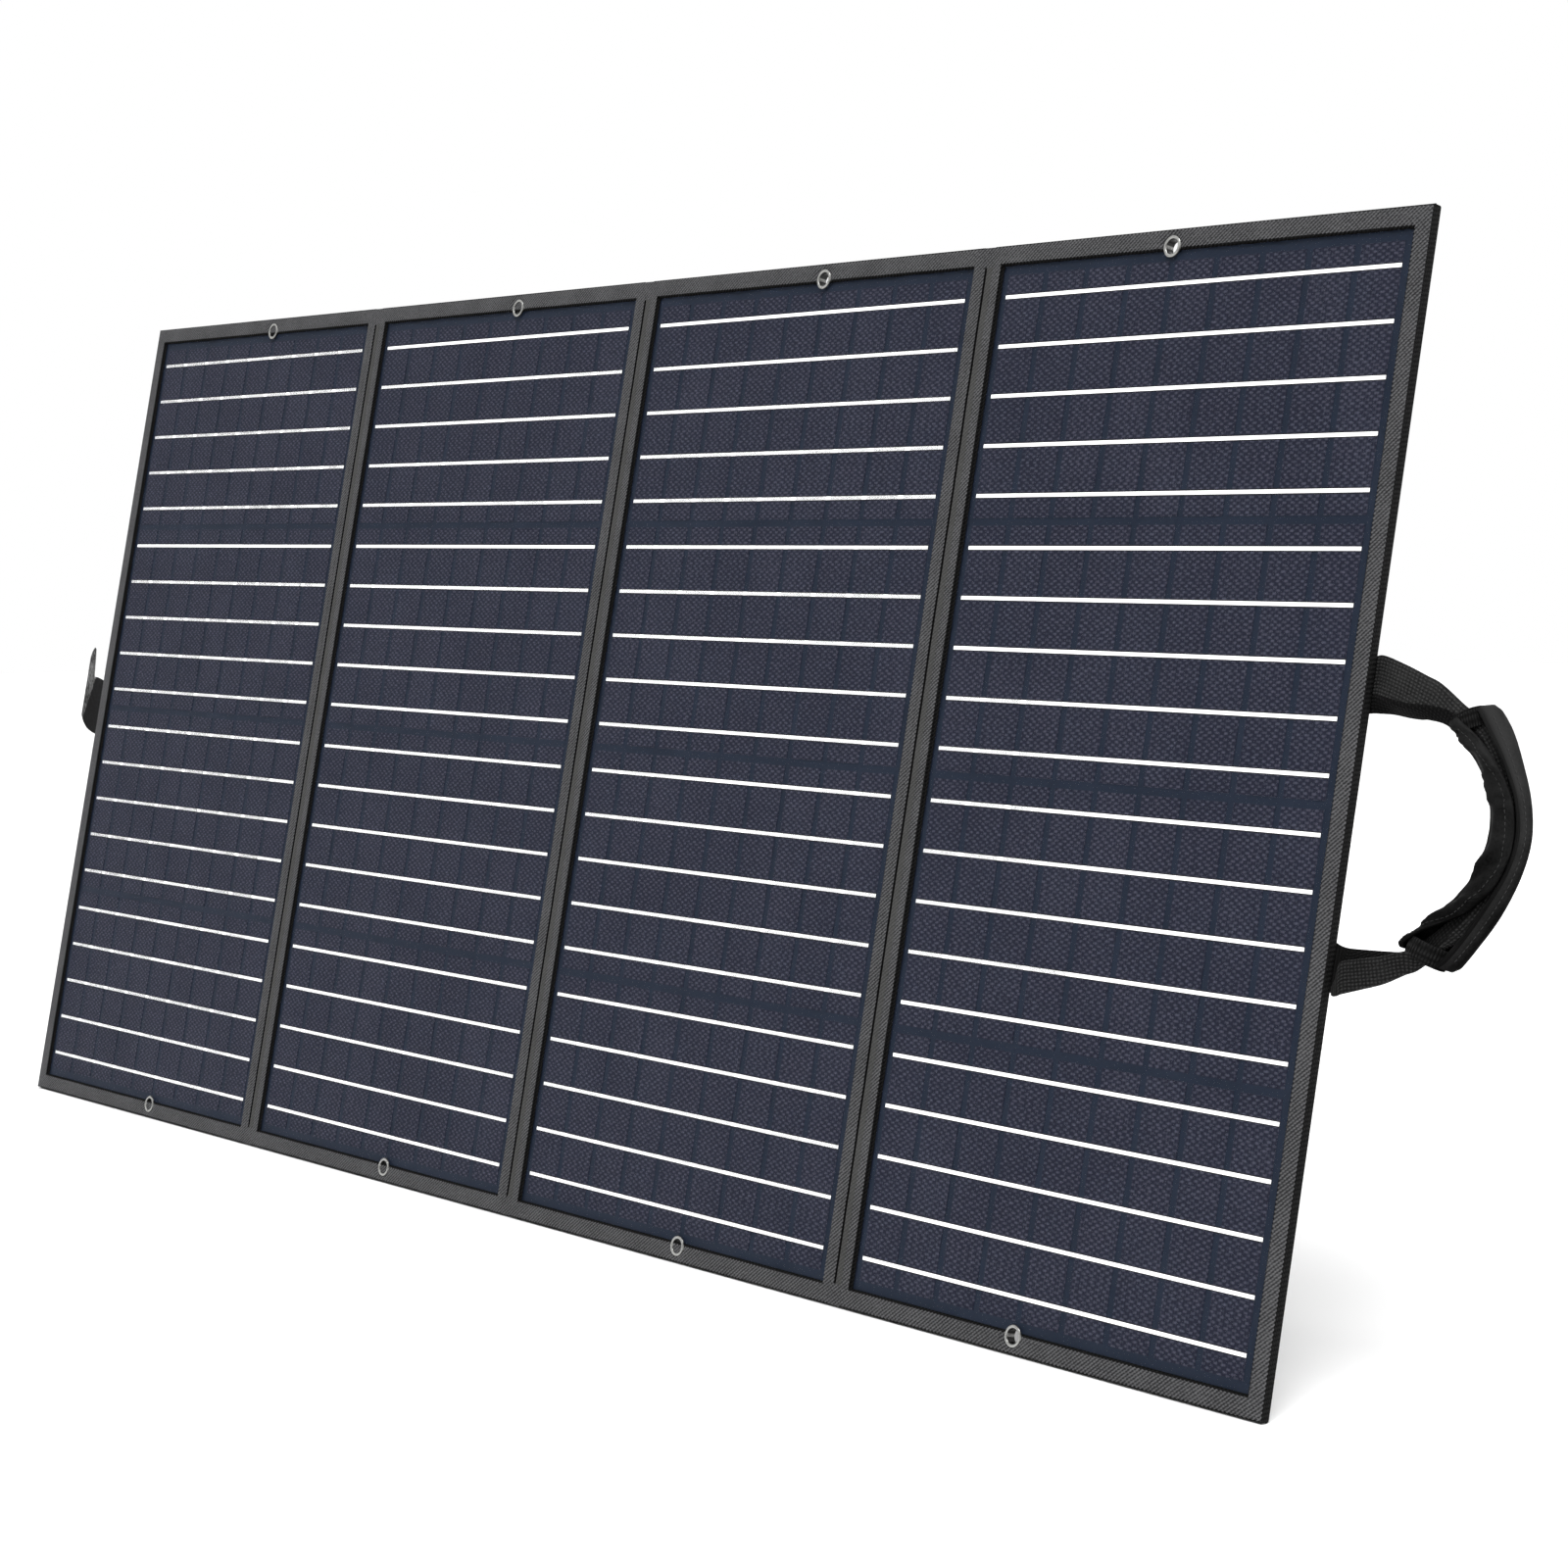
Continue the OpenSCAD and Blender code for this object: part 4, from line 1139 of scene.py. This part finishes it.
def handle_strap():
    """One webbing strap: sewn down, folded lengthwise at each root, and narrow inside the grip."""
    top = ROOT_RISE
    sections = [
        across((-34.4, 0.1, top + 12.3), (-34.4, 0.1, top - 5), (-34.4, 0.1, top - 12.3)),
        across((-20, 0.1, top + 12.3), (-20, 0.1, top - 5), (-20, 0.1, top - 12.3)),
        across((-6, 0.2, top + 12.5), (-6, 0.4, top - 5), (-6, 0.4, top - 12.4)),
        across((-0.6, 0.2, top + 13.2), (-0.6, -0.2, top - 5.5), (-0.6, 1.5, top - 12.0)),
        across((7, -0.4, top + 11.4), (7, -2.4, top - 6.6), (7, 3.4, top - 11.6)),
        across((17, -0.8, top + 8.2), (17, -3.2, top - 8.4), (17, 2.8, top - 12.8)),
        across((26, -0.9, top + 4.9), (25, -3.2, top - 8.8), (24, 1.8, top - 13.4)),
        across((34, -0.8, top + 1.8), (31.5, -2.8, top - 8.8), (29.5, 0.8, top - 13.6)),
        across((46, 0, 56), (43, -1.2, 51), (40, 0.4, 46)),
        across((63, 0, 45), (59, -1.2, 41), (55, 0.4, 37)),
        across((76, 0, 25), (71.5, -1.2, 23), (66, 0.4, 21)),
        across((81, 0, 0), (76, -1.2, 0), (70, 0.4, 0)),
        across((76, 0, -25), (71.5, -1.2, -23), (66, 0.4, -21)),
        across((62, 0, -43), (58, -1.2, -40), (54, 0.4, -36)),
        across((46, -1.8, -50), (43, 0.8, -56), (38, 2.2, -47)),
        across((34, -3.0, -51), (34.5, 0.2, -60.5), (30.5, 2.6, -50.5)),
        across((23, -3.2, -54), (24, 0.2, -65.6), (22, 3.0, -51.2)),
        across((11, -3.0, -56.2), (12, 0.2, -69.5), (11, 3.2, -51.6)),
        across((2, -2.4, -58.5), (2, 0.2, -72.6), (2, 2.6, -51.8)),
        across((-1.6, 0.0, -66), (-1.6, 0.3, -73.6), (-1.6, 1.0, -51.2)),
        across((-7, 0.2, -top - 12.3), (-7, 0.3, -top - 7), (-7, 0.3, -top + 12.3)),
        across((-20, 0.1, -top - 12.3), (-20, 0.1, -top - 7), (-20, 0.1, -top + 12.3)),
        across((-34.4, 0.1, -top - 12.3), (-34.4, 0.1, -top - 7), (-34.4, 0.1, -top + 12.3)),
    ]
    flat = np.array(sections).reshape(len(sections), 9)
    dense = smooth_path(flat, 220).reshape(-1, 3, 3)
    grid = []
    for outer_edge, fold, inner_edge in dense:
        first = [outer_edge + (fold - outer_edge) * s for s in np.linspace(0, 0.93, 9)]
        second = [fold + (inner_edge - fold) * s for s in np.linspace(0.12, 1, 5)]
        middle = fold * 0.94 + outer_edge * 0.03 + inner_edge * 0.03
        grid.append(first + [middle] + second)
    points, faces, slots, weave = strap_mesh(grid, 1.6, 0.6, sides=-1)
    size = 2 * len(grid[0])
    # The strip from each fold to the inner edge takes the darker webbing: painted shade
    slots = [1 if min(k % size, size - 1 - k % size) >= 9 else 0 for k in range(len(slots))]
    strap = add_piece("handle_strap", points, faces, [WEBBING, WEBBING_SHADED], slots, weave, sharp_deg=60)
    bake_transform(strap)
    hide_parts("handle_anchors", "handle_webbing")


def anchor_stitches():
    """A sewn box with a cross on each of the handle's two anchors."""
    parts = []
    y = ANCHOR_HIGH[1] + 0.1
    for middle in (HANDLE_Z + ROOT_RISE, HANDLE_Z - ROOT_RISE):
        x0, x1 = ANCHOR_LOW[0] + 3, ANCHOR_HIGH[0] - 5
        z0, z1 = middle - 9.5, middle + 9.5
        parts += seam(box_path(x0, x1, y, z0, z1), (0, 1, 0), 2.6, 1.9)
        parts += seam([(x0, y, z0), (x1, y, z1)], (0, 1, 0), 2.6, 1.9)
        parts += seam([(x0, y, z1), (x1, y, z0)], (0, 1, 0), 2.6, 1.9)
    add_stitches("handle_anchor_stitches", parts, "leaf_4", material=THREAD)


# Stations of the grip, from its lower end to its upper end, as distances from the swing axis and the handle's
# middle: inner edge, outer edge, half depth, and the two angles between which the wrap is open at the front
GRIP_STATIONS = [
    (27.4, -47.5, 62.5, -57.5, 5.6, 46, 165),
    (36.0, -40.5, 71.0, -46.5, 5.4, 46, 146),
    (49.5, -30.0, 80.9, -31.5, 5.2, 50, 88),
    (62.0, -16.5, 88.0, -14.5, 5.0, 47, 66),
    (67.0, -1.0, 90.6, 1.0, 5.0, 45, 64),
    (66.0, 14.5, 88.0, 16.0, 5.1, 48, 70),
    (59.0, 27.5, 81.8, 31.0, 5.3, 54, 85),
    (48.0, 38.5, 73.8, 46.0, 5.5, 59, 105),
    (38.5, 46.0, 64.4, 57.0, 5.7, 52, 122),
]
WRAP_T = 2.5


def grip_section(inner, outer, half_depth, open_from, open_to, wrinkle):
    """Points round the wrap's section: its outer skin, its far lip, its inside and its rolled near lip."""
    centre = (inner + outer) / 2
    radial = (outer - inner) / 2 * 0.95
    depth = np.array([0, half_depth, 0])

    def at(degrees, inset):
        a = math.radians(degrees)
        reach = np.linalg.norm(radial)
        scale_radial = (reach - inset) / reach
        scale_depth = (half_depth - inset) / half_depth
        return centre + radial * math.cos(a) * scale_radial - depth * math.sin(a) * scale_depth

    ring = []
    sweep = np.linspace(open_from, open_to - 360, 44)
    for index, degrees in enumerate(sweep):
        near_lip = smoothstep((degrees - (open_from - 30)) / 30)
        far_lip = smoothstep(((open_to - 360 + 165) - degrees) / 120)
        bulge = -1.1 * near_lip + wrinkle * far_lip * math.sin(math.radians(degrees * 3.1)) + 0.3 * far_lip
        ring.append(at(degrees, bulge))
    for inset, turn in ((0.5, 4), (WRAP_T / 2, 6), (WRAP_T - 0.5, 4)):
        ring.append(at(open_to - 360 - turn, inset))
    for degrees in sweep[::-1]:
        near_lip = smoothstep((degrees - (open_from - 30)) / 30)
        ring.append(at(degrees, WRAP_T + 0.3 * near_lip))
    for inset, turn in ((WRAP_T - 0.4, 8), (WRAP_T / 2 - 0.4, 11), (0.1, 8)):
        ring.append(at(open_from + turn, inset))
    return ring, len(sweep)


def grip_lines(count):
    """The grip's stations, made dense: inner points, outer points, half depths and open angles."""
    dense = smooth_path(GRIP_STATIONS, count)
    inner = np.column_stack((HANDLE_X + dense[:, 0], np.full(count, HANDLE_Y), HANDLE_Z + dense[:, 1]))
    outer = np.column_stack((HANDLE_X + dense[:, 2], np.full(count, HANDLE_Y), HANDLE_Z + dense[:, 3]))
    return inner, outer, dense[:, 4], dense[:, 5], dense[:, 6]


def handle_grip():
    """Padded wrap round the webbing: smooth skin, a rolled lip, a loose flap and a napped inside."""
    count = 84
    inner, outer, depth, open_from, open_to = grip_lines(count)
    rings = []
    for i in range(count):
        pinch = 3.4 * noise.noise(Vector((i / 6.0, 2.0, 0.5))) + 1.2 * noise.noise(Vector((i / 2.3, 9.0, 0.5)))
        end = min(i, count - 1 - i)
        tuck = 1 - 0.22 * (1 - smoothstep((end + 1) / 4))
        middle = (inner[i] + outer[i]) / 2
        reach = (outer[i] - inner[i]) / 2 * (0.35 + 0.65 * tuck)
        ring, sweep = grip_section(middle - reach, middle + reach, depth[i] * tuck, open_from[i], open_to[i], pinch)
        rings.append(ring)
    points, faces = loft(rings)
    size = len(rings[0])
    slots = [1 if sweep + 3 <= k < 2 * sweep + 2 else 0 for _ in range(count - 1) for k in range(size)] + [0, 0]
    grid = np.array(rings)
    around = np.cumsum(np.linalg.norm(np.diff(grid[count // 2], axis=0, prepend=grid[count // 2][:1]), axis=1))
    along = np.cumsum(np.linalg.norm(np.diff(outer, axis=0, prepend=outer[:1]), axis=1))
    weave = np.stack(np.meshgrid(around, along), 2).reshape(-1, 2)
    wrap = add_piece("handle_grip_wrap", points, oriented(points, faces), [GRIP_OUTSIDE, GRIP_INSIDE], slots, weave, sharp_deg=70)
    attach(wrap, "handle")
    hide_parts("handle_grip")
    grip_stitches(rings, sweep)
    grip_binding("upper", rings[-1], rings[-3], inner[-1] - outer[-1])
    grip_binding("lower", rings[0], rings[2], inner[0] - outer[0])


def grip_stitches(rings, sweep):
    """Seams beside the two lips of the wrap."""
    parts = []
    grid = np.array(rings)
    for k in (2, sweep - 3):
        path = grid[3:-3, k]
        middles = grid[3:-3, :sweep].mean(1)
        normal = path - middles
        normal /= np.linalg.norm(normal, axis=1, keepdims=True)
        parts += seam(path, normal, 2.6, 1.8, 0.2)
    add_stitches("handle_grip_stitches", parts, "handle", material=THREAD_DARK)


def grip_binding(name, end_ring, inner_ring, inward):
    """Ribbed binding round the webbing where it leaves the wrap, tucked under the wrap's outer skin."""
    inward = inward / np.linalg.norm(inward)
    step = np.mean(end_ring, 0) - np.mean(inner_ring, 0)
    step -= inward * (step @ inward)
    step /= np.linalg.norm(step)
    radial = (np.array(end_ring) - np.mean(end_ring, 0)) @ inward
    reach = np.abs(radial).max() * 0.70
    centre = np.mean(end_ring, 0) + inward * reach * 0.16
    depth = 4.4
    ribs = 34
    rings = []
    for along, scale, rib_size in ((-7.0, 0.86, 0.0), (-6.8, 1.0, 0.02), (-2.5, 1.02, 0.02), (0.2, 1.0, 0.02), (1.6, 0.96, 0.02),
                                   (1.9, 0.86, 0.0), (1.6, 0.78, 0.0), (-6.8, 0.78, 0.0)):
        ring = []
        for a in np.linspace(0, 2 * math.pi, ribs * 4, endpoint=False):
            size = scale * (1 + rib_size * math.cos(ribs * a))
            ring.append(centre + step * along + inward * reach * size * math.cos(a)
                        + np.array([0, depth * size * math.sin(a), 0]))
        rings.append(ring)
    points, faces = loft(rings, cyclic=True)
    weave = np.stack(np.meshgrid(np.linspace(0, 60, ribs * 4), np.arange(len(rings)) * 2.0), 2).reshape(-1, 2)
    piece = add_piece(f"grip_binding_{name}", points, oriented(points, faces), [GRIP_BINDING], None, weave)
    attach(piece, "handle")


handle_strap()
anchor_stitches()
handle_grip()


# ---------------------------------------------------------------- closure
def closure_strap():
    """Closure tab: sewn to leaf 1's back, curling out past the left end, with a napped free end."""
    pivot = panel_point(joints["closure_tab_swing"]["pos_m"])
    low, high = panel_box("closure_anchor")
    tab_low, tab_high = panel_box("closure_tab")
    radius = 16.5
    centre_x = -HALF_W - 16
    centre_y = pivot[1] - 11
    foot = tab_low[2]
    crown = low[2] + 40 - foot
    angles = [43, 95, 110, 124, 131, 132.5, 134.2, 135.8, 138, 141, 143.5, 146, 148]
    lows = [0, 0, 0.9, 2.6, 4.1, 4.6, 5.2, 5.8, 6.6, 7.8, 9.2, 10.9, 12.5]
    rises = [0, -3, -1.2, 0, 0, 2, 8, 14, 19.5, 20.3, 19, 16.5, 13.5]
    highs = [crown + rise for rise in rises]
    rows = []
    for x in np.linspace(high[0] - 0.5, low[0] + 0.5, 14):
        rows.append((x, pivot[1] + 0.1, 0, crown, 0))
    rows.append((pivot[0] + 0.4, pivot[1] + 0.15, 0, crown, 20))
    for a in np.concatenate((np.linspace(angles[0], 130, 40), np.linspace(130.6, angles[-1], 30))):
        x = centre_x + radius * math.cos(math.radians(a))
        y = centre_y + radius * math.sin(math.radians(a))
        rows.append((x, y, np.interp(a, angles, lows), np.interp(a, angles, highs), a))
    grid = []
    degrees = []
    for x, y, z0, z1, a in rows:
        shares = np.linspace(0, 1, 25)
        grid.append([(x, y, foot + z0 + (z1 - z0) * s) for s in shares])
        degrees.append([(a, z0 + (z1 - z0) * s) for s in shares])
    points, faces, slots, weave = strap_mesh(grid, 1.9, 0.6, sides=1)
    columns = 25
    napped = []
    for i in range(len(rows) - 1):
        for k in range(2 * columns):
            j = min(k, 2 * columns - 1 - k)
            a, z = degrees[i][min(j, columns - 1)]
            bend = 143 - (z - 10) * 19 / 30
            napped.append(1 if a > min(bend, 143) else 0)
    strap = add_piece("closure_strap", points, faces, [CLOSURE_SMOOTH, HOOK_NAP], napped + [0, 1], weave, sharp_deg=60)
    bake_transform(strap)
    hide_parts("closure_tab", "closure_anchor")
    parts = seam(box_path(low[0] + 4, high[0] - 3, high[1] + 0.1, low[2] + 3, low[2] + 37), (0, 1, 0), 2.8, 2.0)
    parts += seam([(low[0] + 4, high[1] + 0.1, low[2] + 3), (high[0] - 3, high[1] + 0.1, low[2] + 37)], (0, 1, 0), 2.8, 2.0)
    parts += seam([(low[0] + 4, high[1] + 0.1, low[2] + 37), (high[0] - 3, high[1] + 0.1, low[2] + 3)], (0, 1, 0), 2.8, 2.0)
    add_stitches("closure_stitches", parts, "leaf_1")


def closure_patch():
    """Loop patch on leaf 4's back that the closure tab sticks to."""
    low, high = panel_box("closure_loop_patch")
    rings = []
    for inset, y, radius in ((6, low[1] + 0.02, 1), (0, low[1] + 0.02, 2), (0, low[1] + 0.7, 2), (0.5, high[1] - 0.15, 2),
                             (2.2, high[1] - 0.2, 2), (3.0, high[1] - 0.02, 2), (6, high[1], 1), (12, high[1] - 0.05, 1)):
        rings.append(rounded_ring(low[0] + inset, high[0] - inset, low[2] + inset, high[2] - inset, radius, y, (16, 14)))
    for index in (6, 7):
        for point in rings[index]:
            point[1] -= 0.1 + 0.1 * ripple(point[0], point[2], 2.5, 4.0)
    points, faces = loft(rings)
    patch = add_piece("closure_patch", points, oriented(points, faces), [LOOP_NAP])
    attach(patch, "leaf_4")
    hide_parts("closure_loop_patch")
    path = box_path(low[0] + 1.8, high[0] - 1.8, high[1] - 0.1, low[2] + 1.8, high[2] - 1.8)
    add_stitches("closure_patch_stitches", seam(path, (0, 1, 0), 2.8, 2.0), "leaf_4")


# ---------------------------------------------------------------- pocket and zip
def pocket():
    """Accessory pocket: a soft, slightly slack bag with piping and a zip."""
    low, high = panel_box("pocket_pouch")
    tape_low, tape_high = panel_box("zip_tape")
    zip_x = (tape_low[0] + tape_high[0]) / 2
    wall = 1.2

    def ring(inset, y, radius):
        return rounded_ring(low[0] + inset, high[0] - inset, low[2] + inset, high[2] - inset, radius, y, (30, 34), 8)

    inside = [ring(50, high[1] - wall - 0.6, 2), ring(20, high[1] - wall - 0.6, 6), ring(wall + 1, high[1] - wall - 0.6, 12),
              ring(wall, high[1] - 3, 12.8), ring(wall, low[1] + 0.05, 12.8)]
    outside = [ring(0, low[1] + 0.05, 14), ring(0.5, low[1] + 3, 13.6), ring(0.9, low[1] + 8, 13.2), ring(0.6, low[1] + 13, 13.4),
               ring(0.2, low[1] + 18, 13.8), ring(0.5, high[1] - 1.5, 13.5), ring(1.6, high[1] - 0.4, 12.6), ring(4, high[1], 11),
               ring(9, high[1], 9), ring(16, high[1], 7), ring(26, high[1], 5), ring(38, high[1], 4), ring(50, high[1], 3),
               ring(62, high[1], 2)]
    middle_x = (low[0] + high[0]) / 2
    for index, outline in enumerate(outside):
        for point in outline:
            if 1 <= index <= 5:
                inward = 0.9 * (0.5 + 0.5 * ripple(point[0] * 1.0 + point[2], point[1], 16, 5.0))
                point[0] += inward * (1 if point[0] < middle_x else -1)
                point[2] += 0.8 * inward * (1 if point[2] < (low[2] + high[2]) / 2 else -1)
            if index >= 8:
                off_zip = smoothstep((abs(point[0] - zip_x) - 11) / 14)
                slack = 0.9 + 0.7 * ripple(point[0], point[2], 34, 6.0) + 0.3 * ripple(point[0], point[2], 11, 2.0)
                point[1] -= 0.55 * max(slack, 0.0) * off_zip
    points, faces = loft(inside + outside)
    bag = add_piece("pocket_bag", points, oriented(points, faces), [POCKET_OXFORD], sharp_deg=75)
    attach(bag, "leaf_4")
    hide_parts("pocket_pouch")
    piping(low, high)
    flange(low, high)
    zip_tapes(tape_low, tape_high, zip_x)


def tube_round(path, radius, sides=10):
    """A closed tube along a closed path that lies at one depth."""
    path = np.asarray(path, float)
    forward = np.roll(path, -1, 0) - np.roll(path, 1, 0)
    forward /= np.linalg.norm(forward, axis=1, keepdims=True) + 1e-12
    depth = np.array([0, 1, 0])
    side = np.cross(forward, depth)
    rings = []
    for i in range(len(path)):
        rings.append([path[i] + radius * (math.cos(a) * side[i] + math.sin(a) * depth)
                      for a in np.linspace(0, 2 * math.pi, sides, endpoint=False)])
    points, faces = loft(rings, cyclic=True)
    along = np.cumsum(np.linalg.norm(np.diff(path, axis=0, prepend=path[:1]), axis=1))
    weave = np.stack(np.meshgrid(np.linspace(0, 2 * math.pi * radius, sides), along), 2).reshape(-1, 2)
    return points, oriented(points, faces), weave


def piping(low, high):
    radius = 1.2
    path = rounded_ring(low[0] + 1.5, high[0] - 1.5, low[2] + 1.5, high[2] - 1.5, 12.6, high[1] - 1.0, (30, 34), 8)
    points, faces, weave = tube_round(path, radius)
    piece = add_piece("pocket_piping", points, faces, [BINDING], None, weave)
    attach(piece, "leaf_4")
    path = rounded_ring(low[0] + 4.6, high[0] - 4.6, low[2] + 4.6, high[2] - 4.6, 10, high[1] + 0.05, (30, 34), 8)
    path = np.concatenate((path, path[:1]))
    add_stitches("pocket_stitches", seam(path, (0, 1, 0), 3.0, 2.1), "leaf_4")


def flange(low, high):
    """Flat seam allowance that sews the pocket to the back panel."""
    out = 5
    y = low[1]
    rings = []
    for inset, depth in ((1.0, y + 0.02), (-out, y + 0.02), (-out - 0.2, y + 0.4), (-out + 0.2, y + 0.75), (0.6, y + 0.8)):
        rings.append(rounded_ring(low[0] + inset, high[0] - inset, low[2] + inset, high[2] - inset,
                                  max(14 - inset, 1), depth, (30, 34), 8))
    points, faces = loft(rings, cyclic=True)
    piece = add_piece("pocket_flange", points, oriented(points, faces), [BINDING])
    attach(piece, "leaf_4")
    path = rounded_ring(low[0] - 2.6, high[0] + 2.6, low[2] - 2.6, high[2] + 2.6, 16.4, y + 0.85, (30, 34), 8)
    path = np.concatenate((path, path[:1]))
    add_stitches("pocket_flange_stitches", seam(path, (0, 1, 0), 3.0, 2.1), "leaf_4")


def zip_tapes(low, high, zip_x):
    """The zip's two woven tapes, each with a row of stitches."""
    parts = []
    stitches = []
    weave = []
    for direction in (-1, 1):
        near = zip_x + direction * 0.6
        far = high[0] if direction > 0 else low[0]
        grid = [[(x, low[1] + 0.25, z) for x in np.linspace(near, far, 8)] for z in np.linspace(low[2], high[2], 60)]
        points, faces, _, own = strap_mesh(grid, 0.48, 0.5)
        parts.append((points, faces))
        weave.append(own)
        x = far - direction * 2.2
        stitches += seam([(x, high[1] + 0.02, low[2] + 2), (x, high[1] + 0.02, high[2] - 2)], (0, 1, 0), 2.8, 2.0)
    points, faces = joined(*parts)
    tapes = add_piece("zip_tape_cloth", points, faces, [ZIP_TAPE], None, np.concatenate(weave))
    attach(tapes, "leaf_4")
    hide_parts("zip_tape")
    add_stitches("zip_stitches", stitches, "leaf_4")


closure_strap()
closure_patch()
pocket()
